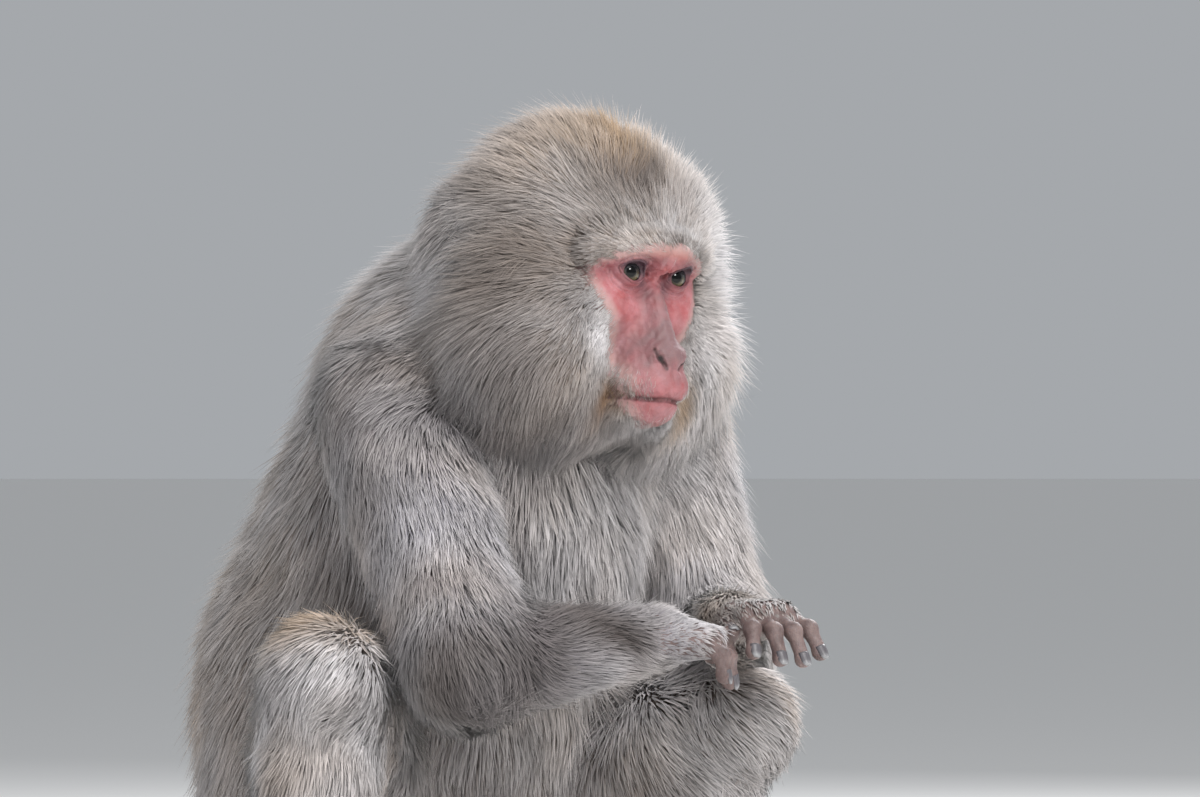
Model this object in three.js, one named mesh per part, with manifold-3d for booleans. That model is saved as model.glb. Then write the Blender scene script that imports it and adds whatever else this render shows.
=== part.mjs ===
// A Japanese macaque, life size, sitting upright on its seat pad with its knees drawn up and
// apart and its forearms folded in front of the belly. Millimetres, +Z up. The animal faces -Y,
// its left side is +X, and the origin is the middle of the seat pad on the floor.
//
// The soft body is described by rounded forms (balls and tapering bones) that melt together.
// Each body part is the surface of such a form, wrapped in a net of facets, and parted from its
// neighbours by a thin gap. Radii include the coat: the solids reach out to the tips of the hair.
import * as THREE from "three";
import { mergeVertices } from "three/addons/utils/BufferGeometryUtils.js";
import Module from "manifold-3d";

const wasm = await Module();
wasm.setup();

// ---- driving dimensions ------------------------------------------------------------------
const GAP = 0.4; // between neighbouring parts
const FLOOR = 0; // level of the seat pads and soles
const COAT_OFF_FLOOR = 1.5; // the coat ends this far above the floor
const FACET = { trunk: 34, limb: 29, head: 24, face: 9.4, tail: 16, foot: 9, hand: 7, pad: 15, ear: 10 };

const EYE_SPACING = 36; // pupil to pupil
const EYE_DIAMETER = 19;
const HEAD_ROLL = 0.085; // the head leans to its left, radians

const v = (x, y, z) => new THREE.Vector3(x, y, z);
const RIGHT = -1;
const LEFT = 1;

const EYES = v(0, -185, 414); // midway between the centres of the eyeballs
const SKULL = v(0, -126, 426);
const NECK = [v(0, -62, 362), v(0, -112, 404)]; // nape, base of the skull

// Joints of the limbs; tips are the ends of the middle digit.
const ARMS = {
  right: {
    side: RIGHT,
    shoulder: v(-86, -72, 340),
    elbow: v(-118, -162, 197),
    wrist: v(-5, -197, 212),
    knuckles: v(13, -220, 210),
    bend: v(20, -228, 201),
    tips: v(22, -230, 187),
    fan: 0.1,
  },
  left: {
    side: LEFT,
    shoulder: v(91, -88, 346),
    elbow: v(124, -114, 204),
    wrist: v(61, -191, 219),
    knuckles: v(56, -222, 223),
    bend: v(53, -240, 215),
    tips: v(51, -249, 199),
    fan: 0.6,
  },
};
const LEGS = {
  right: {
    side: RIGHT,
    hip: v(-52, -2, 108),
    knee: v(-165, -99, 190),
    ankle: v(-158, -72, 40),
    ball: v(-182, -146, 11),
    tips: v(-196, -192, 8),
  },
  left: {
    side: LEFT,
    hip: v(52, -2, 108),
    knee: v(86, -168, 163),
    ankle: v(84, -92, 40),
    ball: v(100, -170, 11),
    tips: v(110, -220, 8),
  },
};

// ---- forms: signed distance from a soft surface, negative inside ---------------------------
class Form {
  constructor(at, box) {
    this.at = at;
    this.box = box;
  }
}

// An ellipsoid, tilted about the X axis.
function ball(centre, radii, tilt = 0) {
  const c = Math.cos(tilt);
  const s = Math.sin(tilt);
  const at = (x, y, z) => {
    const px = (x - centre.x) / radii.x;
    const dy = y - centre.y;
    const dz = z - centre.z;
    const py = (c * dy + s * dz) / radii.y;
    const pz = (c * dz - s * dy) / radii.z;
    const k0 = Math.hypot(px, py, pz);
    const k1 = Math.hypot(px / radii.x, py / radii.y, pz / radii.z);
    return k1 < 1e-9 ? -Math.min(radii.x, radii.y, radii.z) : (k0 * (k0 - 1)) / k1;
  };
  const reach = v(1, 1, 1).multiplyScalar(Math.max(radii.x, radii.y, radii.z));
  return new Form(at, new THREE.Box3(centre.clone().sub(reach), centre.clone().add(reach)));
}

// A round bone from a to b whose radius goes from ra to rb.
function bone(a, b, ra, rb) {
  const d = b.clone().sub(a);
  const length2 = d.lengthSq();
  const at = (x, y, z) => {
    const t = Math.min(1, Math.max(0, ((x - a.x) * d.x + (y - a.y) * d.y + (z - a.z) * d.z) / length2));
    return Math.hypot(x - a.x - t * d.x, y - a.y - t * d.y, z - a.z - t * d.z) - ra - t * (rb - ra);
  };
  const box = new THREE.Box3().setFromPoints([a, b]).expandByScalar(Math.max(ra, rb));
  return new Form(at, box);
}

// Forms joined with a soft fillet of about the given width.
function melt(width, ...forms) {
  const at = (x, y, z) => {
    let d = forms[0].at(x, y, z);
    for (let i = 1; i < forms.length; i++) {
      const e = forms[i].at(x, y, z);
      const h = Math.max(width - Math.abs(d - e), 0) / width;
      d = Math.min(d, e) - (h * h * width) / 4;
    }
    return d;
  };
  const box = forms.reduce((b, f) => b.union(f.box), new THREE.Box3());
  return new Form(at, box.expandByScalar(width / 4));
}

// A form with another scooped out of it, the rim softened over the given width.
function scoop(width, body, tool) {
  const at = (x, y, z) => {
    const d = body.at(x, y, z);
    const e = -tool.at(x, y, z);
    const h = Math.max(width - Math.abs(d - e), 0) / width;
    return Math.max(d, e) + (h * h * width) / 4;
  };
  return new Form(at, body.box);
}

// ---- nets: a form's surface as facets ------------------------------------------------------
// Fills lattice corners until no lattice face has its inside corners only across a diagonal, so
// that the net never touches itself.
function settleCorners(inside, n, index) {
  const step = [index(1, 0, 0), index(0, 1, 0), index(0, 0, 1)];
  let changed = true;
  while (changed) {
    changed = false;
    for (let k = 0; k < n[2] - 1; k++)
      for (let j = 0; j < n[1] - 1; j++)
        for (let i = 0; i < n[0] - 1; i++) {
          const o = index(i, j, k);
          for (const [a, b] of [[0, 1], [1, 2], [0, 2]]) {
            const p = [o, o + step[a], o + step[b], o + step[a] + step[b]];
            const even = inside[p[0]] < 0 === inside[p[3]] < 0 && inside[p[1]] < 0 === inside[p[2]] < 0;
            if (even && inside[p[0]] < 0 !== inside[p[1]] < 0) {
              const outer = inside[p[0]] < 0 ? p[1] : p[0];
              inside[outer] = -1e-3;
              changed = true;
            }
          }
        }
  }
}

// One vertex for each lattice cell that the surface crosses and one quad for each lattice edge
// that it crosses.
function net(form, cell) {
  const low = form.box.min.clone().subScalar(1.6 * cell);
  const size = form.box.max.clone().addScalar(1.6 * cell).sub(low);
  const n = [size.x, size.y, size.z].map((s) => Math.ceil(s / cell) + 1);
  const index = (i, j, k) => i + n[0] * (j + n[1] * k);
  const values = new Float64Array(n[0] * n[1] * n[2]);
  for (let k = 0; k < n[2]; k++)
    for (let j = 0; j < n[1]; j++)
      for (let i = 0; i < n[0]; i++)
        values[index(i, j, k)] = form.at(low.x + i * cell, low.y + j * cell, low.z + k * cell);
  settleCorners(values, n, index);

  const corners = [0, 1, 2, 3, 4, 5, 6, 7].map((c) => [c & 1, (c >> 1) & 1, c >> 2]);
  const edges = corners.flatMap((_, a) => [1, 2, 4].filter((bit) => !(a & bit)).map((bit) => [a, a | bit]));
  const vertexOf = new Map();
  const positions = [];
  for (let k = 0; k < n[2] - 1; k++)
    for (let j = 0; j < n[1] - 1; j++)
      for (let i = 0; i < n[0] - 1; i++) {
        const at = (c) => values[index(i + corners[c][0], j + corners[c][1], k + corners[c][2])];
        const crossed = edges.filter(([a, b]) => at(a) < 0 !== at(b) < 0);
        if (!crossed.length) continue;
        const sum = [0, 0, 0];
        for (const [a, b] of crossed) {
          const t = at(a) / (at(a) - at(b));
          for (let m = 0; m < 3; m++) sum[m] += corners[a][m] + t * (corners[b][m] - corners[a][m]);
        }
        const place = sum.map((s, m) => low.getComponent(m) + ([i, j, k][m] + s / crossed.length) * cell);
        vertexOf.set(index(i, j, k), positions.length / 3);
        positions.push(...place);
      }

  const faces = [];
  const step = [index(1, 0, 0), index(0, 1, 0), index(0, 0, 1)];
  for (let k = 1; k < n[2] - 1; k++)
    for (let j = 1; j < n[1] - 1; j++)
      for (let i = 1; i < n[0] - 1; i++) {
        const o = index(i, j, k);
        for (let m = 0; m < 3; m++) {
          const inside = values[o] < 0;
          if (inside === values[o + step[m]] < 0) continue;
          const [s, t] = [step[(m + 1) % 3], step[(m + 2) % 3]];
          const quad = [o - s - t, o - t, o, o - s].map((q) => vertexOf.get(q));
          const [a, b, c, d] = inside ? quad : quad.reverse();
          faces.push(a, b, c, a, c, d);
        }
      }
  return { form, cell, positions, faces };
}

// The net's solid with its vertices moved onto the given level of the form: Newton steps along
// the form's own gradient, each at most a third of a cell long.
function solidAt({ form, cell, positions, faces }, level) {
  const h = cell * 0.05;
  const moved = Float32Array.from(positions);
  for (let pass = 0; pass < 3; pass++)
    for (let i = 0; i < moved.length; i += 3) {
      const [x, y, z] = moved.slice(i, i + 3);
      const f = form.at(x, y, z);
      const g = v(form.at(x + h, y, z) - f, form.at(x, y + h, z) - f, form.at(x, y, z + h) - f);
      g.divideScalar(h);
      g.multiplyScalar((level - f) / Math.max(g.lengthSq(), 0.2)).clampLength(0, cell / 3);
      moved[i] += g.x;
      moved[i + 1] += g.y;
      moved[i + 2] += g.z;
    }
  return closedSolid(moved, new Uint32Array(faces));
}

// ---- solids ---------------------------------------------------------------------------------
function closedSolid(vertProperties, triVerts) {
  return new wasm.Manifold(new wasm.Mesh({ numProp: 3, vertProperties, triVerts }));
}

function geometryOf(solid) {
  const mesh = solid.getMesh();
  const geometry = new THREE.BufferGeometry();
  geometry.setAttribute("position", new THREE.BufferAttribute(mesh.vertProperties, 3));
  geometry.setIndex(new THREE.BufferAttribute(mesh.triVerts, 1));
  geometry.computeVertexNormals();
  return geometry;
}

// A plane through a point, half a gap away from which the solid on either side ends.
class Cut {
  constructor(point, normal) {
    this.unit = normal.clone().normalize();
    this.offset = this.unit.dot(point);
  }

  before(solid) {
    return solid.trimByPlane(this.unit.clone().negate().toArray(), GAP / 2 - this.offset);
  }

  beyond(solid) {
    return solid.trimByPlane(this.unit.toArray(), this.offset + GAP / 2);
  }
}

// Neighbouring body parts made as one form. The run is cut from other runs whole, by their solids
// grown by a gap, and is then parted at its own cuts. Runs of one kin don't cut each other.
class Run {
  constructor(kin, names, solid, grown, cuts = []) {
    Object.assign(this, { kin, names, solid, grown, cuts });
  }

  static of(kin, names, form, cell, cuts) {
    const faceted = net(form, cell);
    return new Run(kin, names, solidAt(faceted, 0), solidAt(faceted, GAP), cuts);
  }

  shaped(change) {
    return new Run(this.kin, this.names, change(this.solid), change(this.grown), this.cuts);
  }

  trimmed(change) {
    return new Run(this.kin, this.names, change(this.solid), this.grown, this.cuts);
  }

  above(level) {
    return this.trimmed((solid) => solid.trimByPlane([0, 0, 1], level));
  }

  // The named pieces left when the given runs have been cut away.
  piecesWithout(others) {
    const strangers = others.filter((other) => other.kin !== this.kin);
    let rest = strangers.reduce((solid, other) => solid.subtract(other.grown), this.solid);
    return this.names.map((name, i) => {
      const cut = this.cuts[i];
      const piece = cut ? cut.before(rest) : rest;
      rest = cut ? cut.beyond(rest) : rest;
      return [name, biggestBody(piece)];
    });
  }
}

function biggestBody(solid) {
  return solid.decompose().sort((a, b) => b.volume() - a.volume())[0];
}

const between = (a, b, t) => a.clone().lerp(b, t);

// The normal of the plane that halves the bend at joint b between bones a-b and b-c.
function bendNormal(a, b, c) {
  const first = b.clone().sub(a).normalize();
  return first.add(c.clone().sub(b).normalize());
}

// ---- forms of the body -----------------------------------------------------------------------
function trunkForm() {
  const rump = ball(v(0, 24, 118), v(108, 116, 112));
  const flanks = ball(v(0, 24, 198), v(110, 112, 98));
  const belly = ball(v(0, -42, 196), v(86, 86, 86));
  const ribs = ball(v(0, -38, 284), v(110, 118, 100));
  const withers = ball(v(0, -68, 370), v(98, 90, 62));
  const neck = bone(NECK[0], NECK[1], 84, 68);
  return melt(46, rump, flanks, belly, ribs, withers, neck);
}

function headForm() {
  const skull = ball(SKULL, v(88, 66, 86));
  const sides = [RIGHT, LEFT].flatMap((side) => [
    ball(v(side * 53, -138, 424), v(44, 44, 63)),
    ball(v(side * 54, -141, 366), v(56, 48, 56)),
  ]);
  const beard = ball(v(0, -152, 332), v(46, 42, 29));
  return melt(22, skull, ...sides, beard);
}

function faceForm() {
  const brows = [RIGHT, LEFT].map((side) => bone(v(0, -185, 427), v(side * 33, -172, 423), 12, 11));
  const cheekbones = [RIGHT, LEFT].map((side) => ball(v(side * 23, -164, 394), v(21, 26, 24)));
  const middle = ball(v(0, -158, 402), v(44, 32, 32));
  const nose = bone(v(0, -185, 408), v(0, -199, 372), 8, 10);
  const muzzle = bone(v(0, -174, 388), v(0, -189, 357), 17, 24);
  const chin = ball(v(0, -183, 340), v(19, 20, 12));
  const whole = melt(9, ...brows, ...cheekbones, middle, nose, muzzle, chin);
  const sockets = [RIGHT, LEFT].map((side) => ball(v(side * 19, -200, 413), v(10, 12, 7)));
  return sockets.reduce((form, socket) => scoop(6, form, socket), whole);
}

// A form turned about the fore-and-aft axis through the eyes.
function rolled(form) {
  const c = Math.cos(HEAD_ROLL);
  const s = Math.sin(HEAD_ROLL);
  const at = (x, y, z) => {
    const dz = z - EYES.z;
    return form.at(c * x - s * dz, y, EYES.z + s * x + c * dz);
  };
  return new Form(at, form.box.clone().expandByScalar(10));
}

function rolledPoint(p) {
  const c = Math.cos(HEAD_ROLL);
  const s = Math.sin(HEAD_ROLL);
  const dz = p.z - EYES.z;
  return v(c * p.x + s * dz, p.y, EYES.z - s * p.x + c * dz);
}

// ---- runs of parts ---------------------------------------------------------------------------
function headRuns() {
  const head = Run.of("head", ["head"], rolled(headForm()), FACET.head).shaped(hollowed);
  const face = Run.of("face", ["face"], rolled(faceForm()), FACET.face);
  const organs = [["right", RIGHT], ["left", LEFT]].flatMap(([name, side]) => {
    const eye = rolledPoint(v((side * EYE_SPACING) / 2, EYES.y, EYES.z));
    const pinna = ball(v(side * 90, -108, 438), v(10, 12, 19), 0.2);
    return [eyeball(`eye_${name}`, eye), Run.of("ear", [`ear_${name}`], rolled(pinna), FACET.ear)];
  });
  return { organs, coats: [head, face] };
}

// The hollow of the coat that the bare face looks out of: wide at the eyes, narrow at the mouth.
function hollowed(coat) {
  const eyes = ellipsoid(rolledPoint(v(0, -208, 410)), v(42, 50, 26));
  const mouth = ellipsoid(rolledPoint(v(0, -214, 372)), v(30, 54, 52));
  return coat.subtract(eyes).subtract(mouth);
}

function ellipsoid(centre, radii) {
  const shape = new THREE.SphereGeometry(1, 12, 8);
  shape.rotateX(Math.PI / 2);
  shape.scale(radii.x, radii.y, radii.z);
  shape.translate(centre.x, centre.y, centre.z);
  shape.deleteAttribute("normal");
  shape.deleteAttribute("uv");
  const merged = mergeVertices(shape, 1e-3);
  return closedSolid(new Float32Array(merged.attributes.position.array), new Uint32Array(merged.index.array));
}

function eyeball(name, centre) {
  const sphere = (radius) => ellipsoid(centre, v(radius, radius, radius));
  return new Run("eye", [name], sphere(EYE_DIAMETER / 2), sphere(EYE_DIAMETER / 2 + GAP));
}

function trunkRun() {
  const names = ["pelvis", "belly", "chest", "neck"];
  const cuts = [
    new Cut(v(0, 0, 152), v(0, -0.35, 1)),
    new Cut(v(0, -30, 236), v(0, -0.4, 1)),
    new Cut(v(0, -66, 362), v(0, -0.75, 1)),
  ];
  return Run.of("trunk", names, trunkForm(), FACET.trunk, cuts).above(COAT_OFF_FLOOR);
}

function tailRun() {
  const spine = [v(0, 104, 74), v(0, 138, 62), v(0, 156, 38), v(0, 161, 26)];
  const radii = [19, 17, 15, 10];
  const bones = [0, 1, 2].map((i) => bone(spine[i], spine[i + 1], radii[i], radii[i + 1]));
  return Run.of("tail", ["tail"], melt(8, ...bones), FACET.tail);
}

// The two bare pads that the animal sits on, joined across the middle.
function seatRun() {
  const pads = [RIGHT, LEFT].map((side) => ball(v(side * 25, 4, 7), v(22, 30, 15)));
  const bridge = bone(v(-22, 0, 9), v(22, 0, 9), 15, 15);
  return Run.of("seat", ["seat_pad"], melt(8, ...pads, bridge), FACET.pad).above(FLOOR);
}

// A level direction across a hand or foot, towards its outer edge.
function acrossOf(from, to, side) {
  return to.clone().sub(from).cross(v(0, 0, 1)).normalize().multiplyScalar(-side);
}

// Digits side by side from a palm or sole, each with one bend. They spread towards their tips,
// which stand 1 + fan times as far apart as their roots.
function digits(root, bend, tips, across, spacing, lengths, radius, fan) {
  return lengths.flatMap((length, i) => {
    const place = (i - (lengths.length - 1) / 2) * spacing;
    const a = root.clone().addScaledVector(across, place);
    const b = root.clone().lerp(bend, length).addScaledVector(across, place * (1 + fan * 0.6));
    const c = b.clone().add(tips.clone().sub(bend).multiplyScalar(length));
    c.addScaledVector(across, place * fan * 0.4);
    return [bone(a, b, radius * 1.15, radius), bone(b, c, radius, radius * 0.8)];
  });
}

function handForm({ side, wrist, knuckles, bend, tips, fan }) {
  const across = acrossOf(wrist, knuckles, side);
  const palm = [-11, -3, 5, 12].map((s) => {
    const from = wrist.clone().addScaledVector(across, s * 0.6);
    return bone(from, knuckles.clone().addScaledVector(across, s), 13, 9);
  });
  const fingers = digits(knuckles, bend, tips, across, 9.5, [0.8, 0.97, 1, 0.85], 5, fan);
  const thumbRoot = between(wrist, knuckles, 0.35).addScaledVector(across, -12);
  const thumbTip = between(wrist, knuckles, 1.05).addScaledVector(across, -23).add(v(0, 0, -8));
  return melt(5, melt(6, ...palm), ...fingers, bone(thumbRoot, thumbTip, 6, 4.5));
}

function armRuns(name, arm) {
  const { shoulder, elbow, wrist, knuckles } = arm;
  const kin = `arm_${name}`;
  const end = new Cut(between(wrist, knuckles, 0.1), knuckles.clone().sub(wrist));
  const form = melt(16, bone(shoulder, elbow, 51, 38), bone(elbow, wrist, 36, 21));
  const names = [`upper_arm_${name}`, `forearm_${name}`];
  const bend = new Cut(elbow, bendNormal(shoulder, elbow, wrist));
  const limb = Run.of(kin, names, form, FACET.limb, [bend]);
  const hand = Run.of(kin, [`hand_${name}`], handForm(arm), FACET.hand);
  return {
    end: hand.trimmed((solid) => end.beyond(solid)),
    limbs: [limb.trimmed((solid) => end.before(solid))],
  };
}

function footForm({ side, ankle, ball: pad, tips }) {
  const across = acrossOf(ankle, pad, side);
  const forward = v(pad.x - ankle.x, pad.y - ankle.y, 0).normalize();
  const heel = v(ankle.x, ankle.y, 14).addScaledVector(forward, -20);
  const sole = [-13, -4, 5, 13].map((s) => bone(heel, pad.clone().addScaledVector(across, s), 15, 10.5));
  const instep = bone(v(ankle.x, ankle.y, 34), between(ankle, pad, 0.75), 19, 11);
  const bend = between(pad, tips, 0.55).add(v(0, 0, 3));
  const toes = digits(pad, bend, tips, across, 10.5, [0.78, 0.95, 1, 0.88], 6, 0);
  const bigToeRoot = between(heel, pad, 0.62).addScaledVector(across, -12);
  const bigToeTip = between(heel, pad, 0.98).addScaledVector(across, -34);
  bigToeTip.z = 7;
  return melt(6, melt(10, ...sole, instep), ...toes, bone(bigToeRoot, bigToeTip, 9.5, 7));
}

// The shin folds back against the thigh, so each is a run of its own.
function legRuns(name, leg) {
  const { hip, knee, ankle } = leg;
  const kin = `shin_${name}`;
  const calf = between(knee, ankle, 0.35);
  const shinForm = melt(12, bone(knee, calf, 31, 36), bone(calf, ankle, 36, 23));
  const end = new Cut(ankle.clone().add(v(0, 0, 2)), v(0, -0.25, -1));
  const thigh = Run.of(`thigh_${name}`, [`thigh_${name}`], bone(hip, knee, 66, 41), FACET.limb);
  const shin = Run.of(kin, [`shin_${name}`], shinForm, FACET.limb);
  const foot = Run.of(kin, [`foot_${name}`], footForm(leg), FACET.foot).above(FLOOR);
  return {
    end: foot.trimmed((solid) => end.beyond(solid)),
    limbs: [thigh.above(COAT_OFF_FLOOR), shin.trimmed((solid) => end.before(solid))],
  };
}

// ---- assembly --------------------------------------------------------------------------------
const COLOURS = {
  coat: { color: 0x8f877f, roughness: 0.95, metalness: 0 },
  face_skin: { color: 0xc4716e, roughness: 0.6, metalness: 0 },
  hand_skin: { color: 0x7d6a68, roughness: 0.7, metalness: 0 },
  pad_skin: { color: 0xb77a72, roughness: 0.7, metalness: 0 },
  eye: { color: 0x5d5a34, roughness: 0.15, metalness: 0 },
};

function coloursOf(name) {
  if (name.startsWith("eye")) return COLOURS.eye;
  if (name === "face") return COLOURS.face_skin;
  if (name === "seat_pad") return COLOURS.pad_skin;
  if (/^(hand|foot|ear)/.test(name)) return COLOURS.hand_skin;
  return COLOURS.coat;
}

// Every run, in the order in which one gives way to those before it.
function allRuns() {
  const { organs, coats } = headRuns();
  const arms = Object.entries(ARMS).map(([name, arm]) => armRuns(name, arm));
  const legs = Object.entries(LEGS).map(([name, leg]) => legRuns(name, leg));
  const ends = [...arms, ...legs].map((runs) => runs.end);
  const limbs = [...arms, ...legs].flatMap((runs) => runs.limbs);
  return [...organs, seatRun(), trunkRun(), tailRun(), ...coats, ...ends, ...limbs];
}

const group = new THREE.Group();
const placed = [];
for (const run of allRuns()) {
  for (const [name, solid] of run.piecesWithout(placed)) {
    const mesh = new THREE.Mesh(geometryOf(solid), new THREE.MeshStandardMaterial(coloursOf(name)));
    mesh.name = name;
    group.add(mesh);
  }
  placed.push(run);
}

export default group;
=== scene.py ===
"""A Japanese macaque at life size, sitting upright with its knees apart and its forearms folded.

One skin covers the whole animal. The eyes and the nails are pieces of their own, and the coat is
solid mesh: tapering tufts that are rooted in the skin and follow the lie of the hair. Everything is
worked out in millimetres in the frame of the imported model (+Z up, the animal faces -Y and its left
side is +X) and goes into the scene in metres.
"""

import logging
import math
from dataclasses import dataclass, field
from enum import Enum
from typing import Callable, Sequence

import bpy
import numpy as np
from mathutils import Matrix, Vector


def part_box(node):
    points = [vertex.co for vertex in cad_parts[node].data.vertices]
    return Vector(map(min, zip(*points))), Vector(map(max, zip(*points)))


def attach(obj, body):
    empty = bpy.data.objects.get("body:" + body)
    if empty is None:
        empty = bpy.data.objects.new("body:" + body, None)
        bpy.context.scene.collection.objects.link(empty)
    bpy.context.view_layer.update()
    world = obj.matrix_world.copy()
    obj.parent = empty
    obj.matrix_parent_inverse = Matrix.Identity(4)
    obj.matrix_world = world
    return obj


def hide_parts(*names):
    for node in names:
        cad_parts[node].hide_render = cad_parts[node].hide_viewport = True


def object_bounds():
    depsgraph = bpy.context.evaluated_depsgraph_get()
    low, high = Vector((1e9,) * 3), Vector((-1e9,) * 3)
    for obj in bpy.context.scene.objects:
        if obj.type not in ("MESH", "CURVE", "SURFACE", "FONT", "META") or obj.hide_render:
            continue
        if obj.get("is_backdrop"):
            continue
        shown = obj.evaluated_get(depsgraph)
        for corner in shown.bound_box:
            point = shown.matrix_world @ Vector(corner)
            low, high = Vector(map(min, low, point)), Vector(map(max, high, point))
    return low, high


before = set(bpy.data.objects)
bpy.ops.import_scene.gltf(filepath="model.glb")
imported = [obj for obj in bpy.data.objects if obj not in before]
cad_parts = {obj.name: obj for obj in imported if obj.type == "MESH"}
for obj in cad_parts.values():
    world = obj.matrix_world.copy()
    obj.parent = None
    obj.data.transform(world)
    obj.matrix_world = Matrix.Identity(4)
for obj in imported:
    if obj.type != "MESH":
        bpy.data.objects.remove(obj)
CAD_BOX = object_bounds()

import openvdb
from mathutils import Vector
from numpy.typing import NDArray

Array = NDArray[np.float64]
Ints = NDArray[np.int64]
Point = tuple[float, float, float]

LOG = logging.getLogger("macaque")
MM = 0.001  # the scene is in metres
FAR = 90.0  # what a form says where it isn't worked out, in millimetres
SEED = 20
BODY = "root"

UP = np.array([0.0, 0.0, 1.0])
HEAD_ROLL = 0.085  # the head leans to the animal's left, radians
EYE_LEVEL = 414.0
GAZE_TURN = math.radians(22)  # both eyes look towards the animal's right


class Side(Enum):
    """A side of the animal, by the sign of its X."""

    RIGHT = -1
    LEFT = 1


class Layer(Enum):
    """The two surfaces of a part of the body."""

    COAT = "tips of the coat"
    FLESH = "skin under the coat"


# ---- arrays of points ------------------------------------------------------------------------


def lengths(d: Array) -> Array:
    """The length of each row vector."""
    return np.sqrt(np.einsum("ij,ij->i", d, d))


def units(d: Array) -> Array:
    """Each row vector at length one."""
    return d / np.maximum(lengths(d), 1e-9)[:, None]


def unit(v: Array) -> Array:
    """One vector at length one."""
    return v / np.linalg.norm(v)


def dots(a: Array, b: Array) -> Array:
    """The dot product of each row of a with the same row of b."""
    return np.einsum("ij,ij->i", a, b)


def swing(angle: Array, a: Array, b: Array) -> Array:
    """The direction a, swung towards b by each angle."""
    return np.cos(angle)[:, None] * a + np.sin(angle)[:, None] * b


def circle(turns: int) -> Array:
    """Even angles round a circle, from 0."""
    return np.arange(turns) * 2.0 * math.pi / turns


def ramp(x: Array, low: float, high: float) -> Array:
    """A smooth step: 0 below low, 1 above high, and t * t * (3 - 2 t) between them."""
    t = np.clip((x - low) / (high - low), 0.0, 1.0)
    return t * t * (3.0 - 2.0 * t)


def bell(x: Array, width: float, power: int = 2) -> Array:
    """A bell curve: exp(-(x / width) ** power)."""
    return np.exp(-((x / width) ** power))


def soft_min(a: Array, b: Array, width: float) -> Array:
    """The smaller of a and b, rounded off by width / 4 where they are equal."""
    h = np.maximum(width - np.abs(a - b), 0.0) / width
    return np.minimum(a, b) - h * h * (width / 4.0)


def turned(p: Array, direction: int) -> Array:
    """Points rolled about the fore-and-aft axis through the eyes.

    Args:
        p: Points, in millimetres.
        direction: 1 turns body points into the upright frame of the head, and -1 turns them back.

    Returns:
        The turned points.
    """
    c = math.cos(HEAD_ROLL)
    s = math.sin(HEAD_ROLL) * direction
    z = p[:, 2] - EYE_LEVEL
    return np.stack([c * p[:, 0] - s * z, p[:, 1], EYE_LEVEL + s * p[:, 0] + c * z], axis=1)


def waves(p: Array, size: float, seed: int) -> Array:
    """Smooth noise from about -1 to 1: the mean of plane sine waves in random directions.

    Args:
        p: Points, in millimetres.
        size: The typical distance between two crests, in millimetres.
        seed: Picks the waves.

    Returns:
        One value for each point.
    """
    draw = np.random.default_rng(seed)
    total = np.zeros(len(p))
    count = 7
    for _ in range(count):
        axis = draw.normal(size=3)
        axis *= 2.0 * math.pi / (size * np.linalg.norm(axis)) * draw.uniform(0.7, 1.4)
        total += np.sin(p @ axis + draw.uniform(0.0, 2.0 * math.pi))
    return total / math.sqrt(count)


def drift(p: Array, size: float, seed: int) -> Array:
    """Smooth noise vectors: the waves of three seeds in a row, one for each axis."""
    return np.stack([waves(p, size, seed + i) for i in range(3)], axis=1)


# ---- forms: the signed distance to a soft surface, negative inside -----------------------------


class Form:
    """A soft body, given by its signed distance in millimetres."""

    def at(self, p: Array) -> Array:
        """The signed distance at each point."""
        raise NotImplementedError

    def box(self) -> Array:
        """The lowest and the highest corner of the form."""
        raise NotImplementedError


@dataclass(frozen=True)
class Ball(Form):
    """An ellipsoid, tilted about the X axis.

    Attributes:
        centre: Its middle.
        radii: Its three radii.
        tilt: Its turn about X, in radians.
    """

    centre: Point
    radii: Point
    tilt: float = 0.0

    def at(self, p: Array) -> Array:
        """k0 (k0 - 1) / k1, where k0 and k1 are the lengths of p / radii and p / radii squared."""
        d = p - np.array(self.centre)
        if self.tilt:
            c = math.cos(self.tilt)
            s = math.sin(self.tilt)
            d = np.stack([d[:, 0], c * d[:, 1] + s * d[:, 2], c * d[:, 2] - s * d[:, 1]], axis=1)
        q = d / np.array(self.radii)
        k0 = lengths(q)
        k1 = np.maximum(lengths(q / np.array(self.radii)), 1e-6)
        return k0 * (k0 - 1.0) / k1

    def box(self) -> Array:
        """The box of the largest radius round the centre."""
        return np.array(self.centre) + max(self.radii) * np.array([[-1.0], [1.0]])


def beside(p: Array, a: Point, b: Point) -> tuple[Array, Array]:
    """Where the nearest spot between a and b is, from 0 to 1, and how far away it is."""
    start = np.array(a)
    d = np.array(b) - start
    t = np.clip((p - start) @ d / (d @ d), 0.0, 1.0)
    return t, lengths(p - start - t[:, None] * d)


@dataclass(frozen=True)
class Bone(Form):
    """A round bar from a to b, whose radius goes from ra to rb.

    Attributes:
        a: Its first end.
        b: Its other end.
        ra: The radius at a.
        rb: The radius at b.
    """

    a: Point
    b: Point
    ra: float
    rb: float

    def at(self, p: Array) -> Array:
        """The distance to the axis, less the radius there."""
        t, away = beside(p, self.a, self.b)
        return away - self.ra - t * (self.rb - self.ra)

    def box(self) -> Array:
        """The box of the two end balls."""
        ends = np.array([self.a, self.b])
        reach = max(self.ra, self.rb)
        return np.array([ends.min(axis=0) - reach, ends.max(axis=0) + reach])


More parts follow.
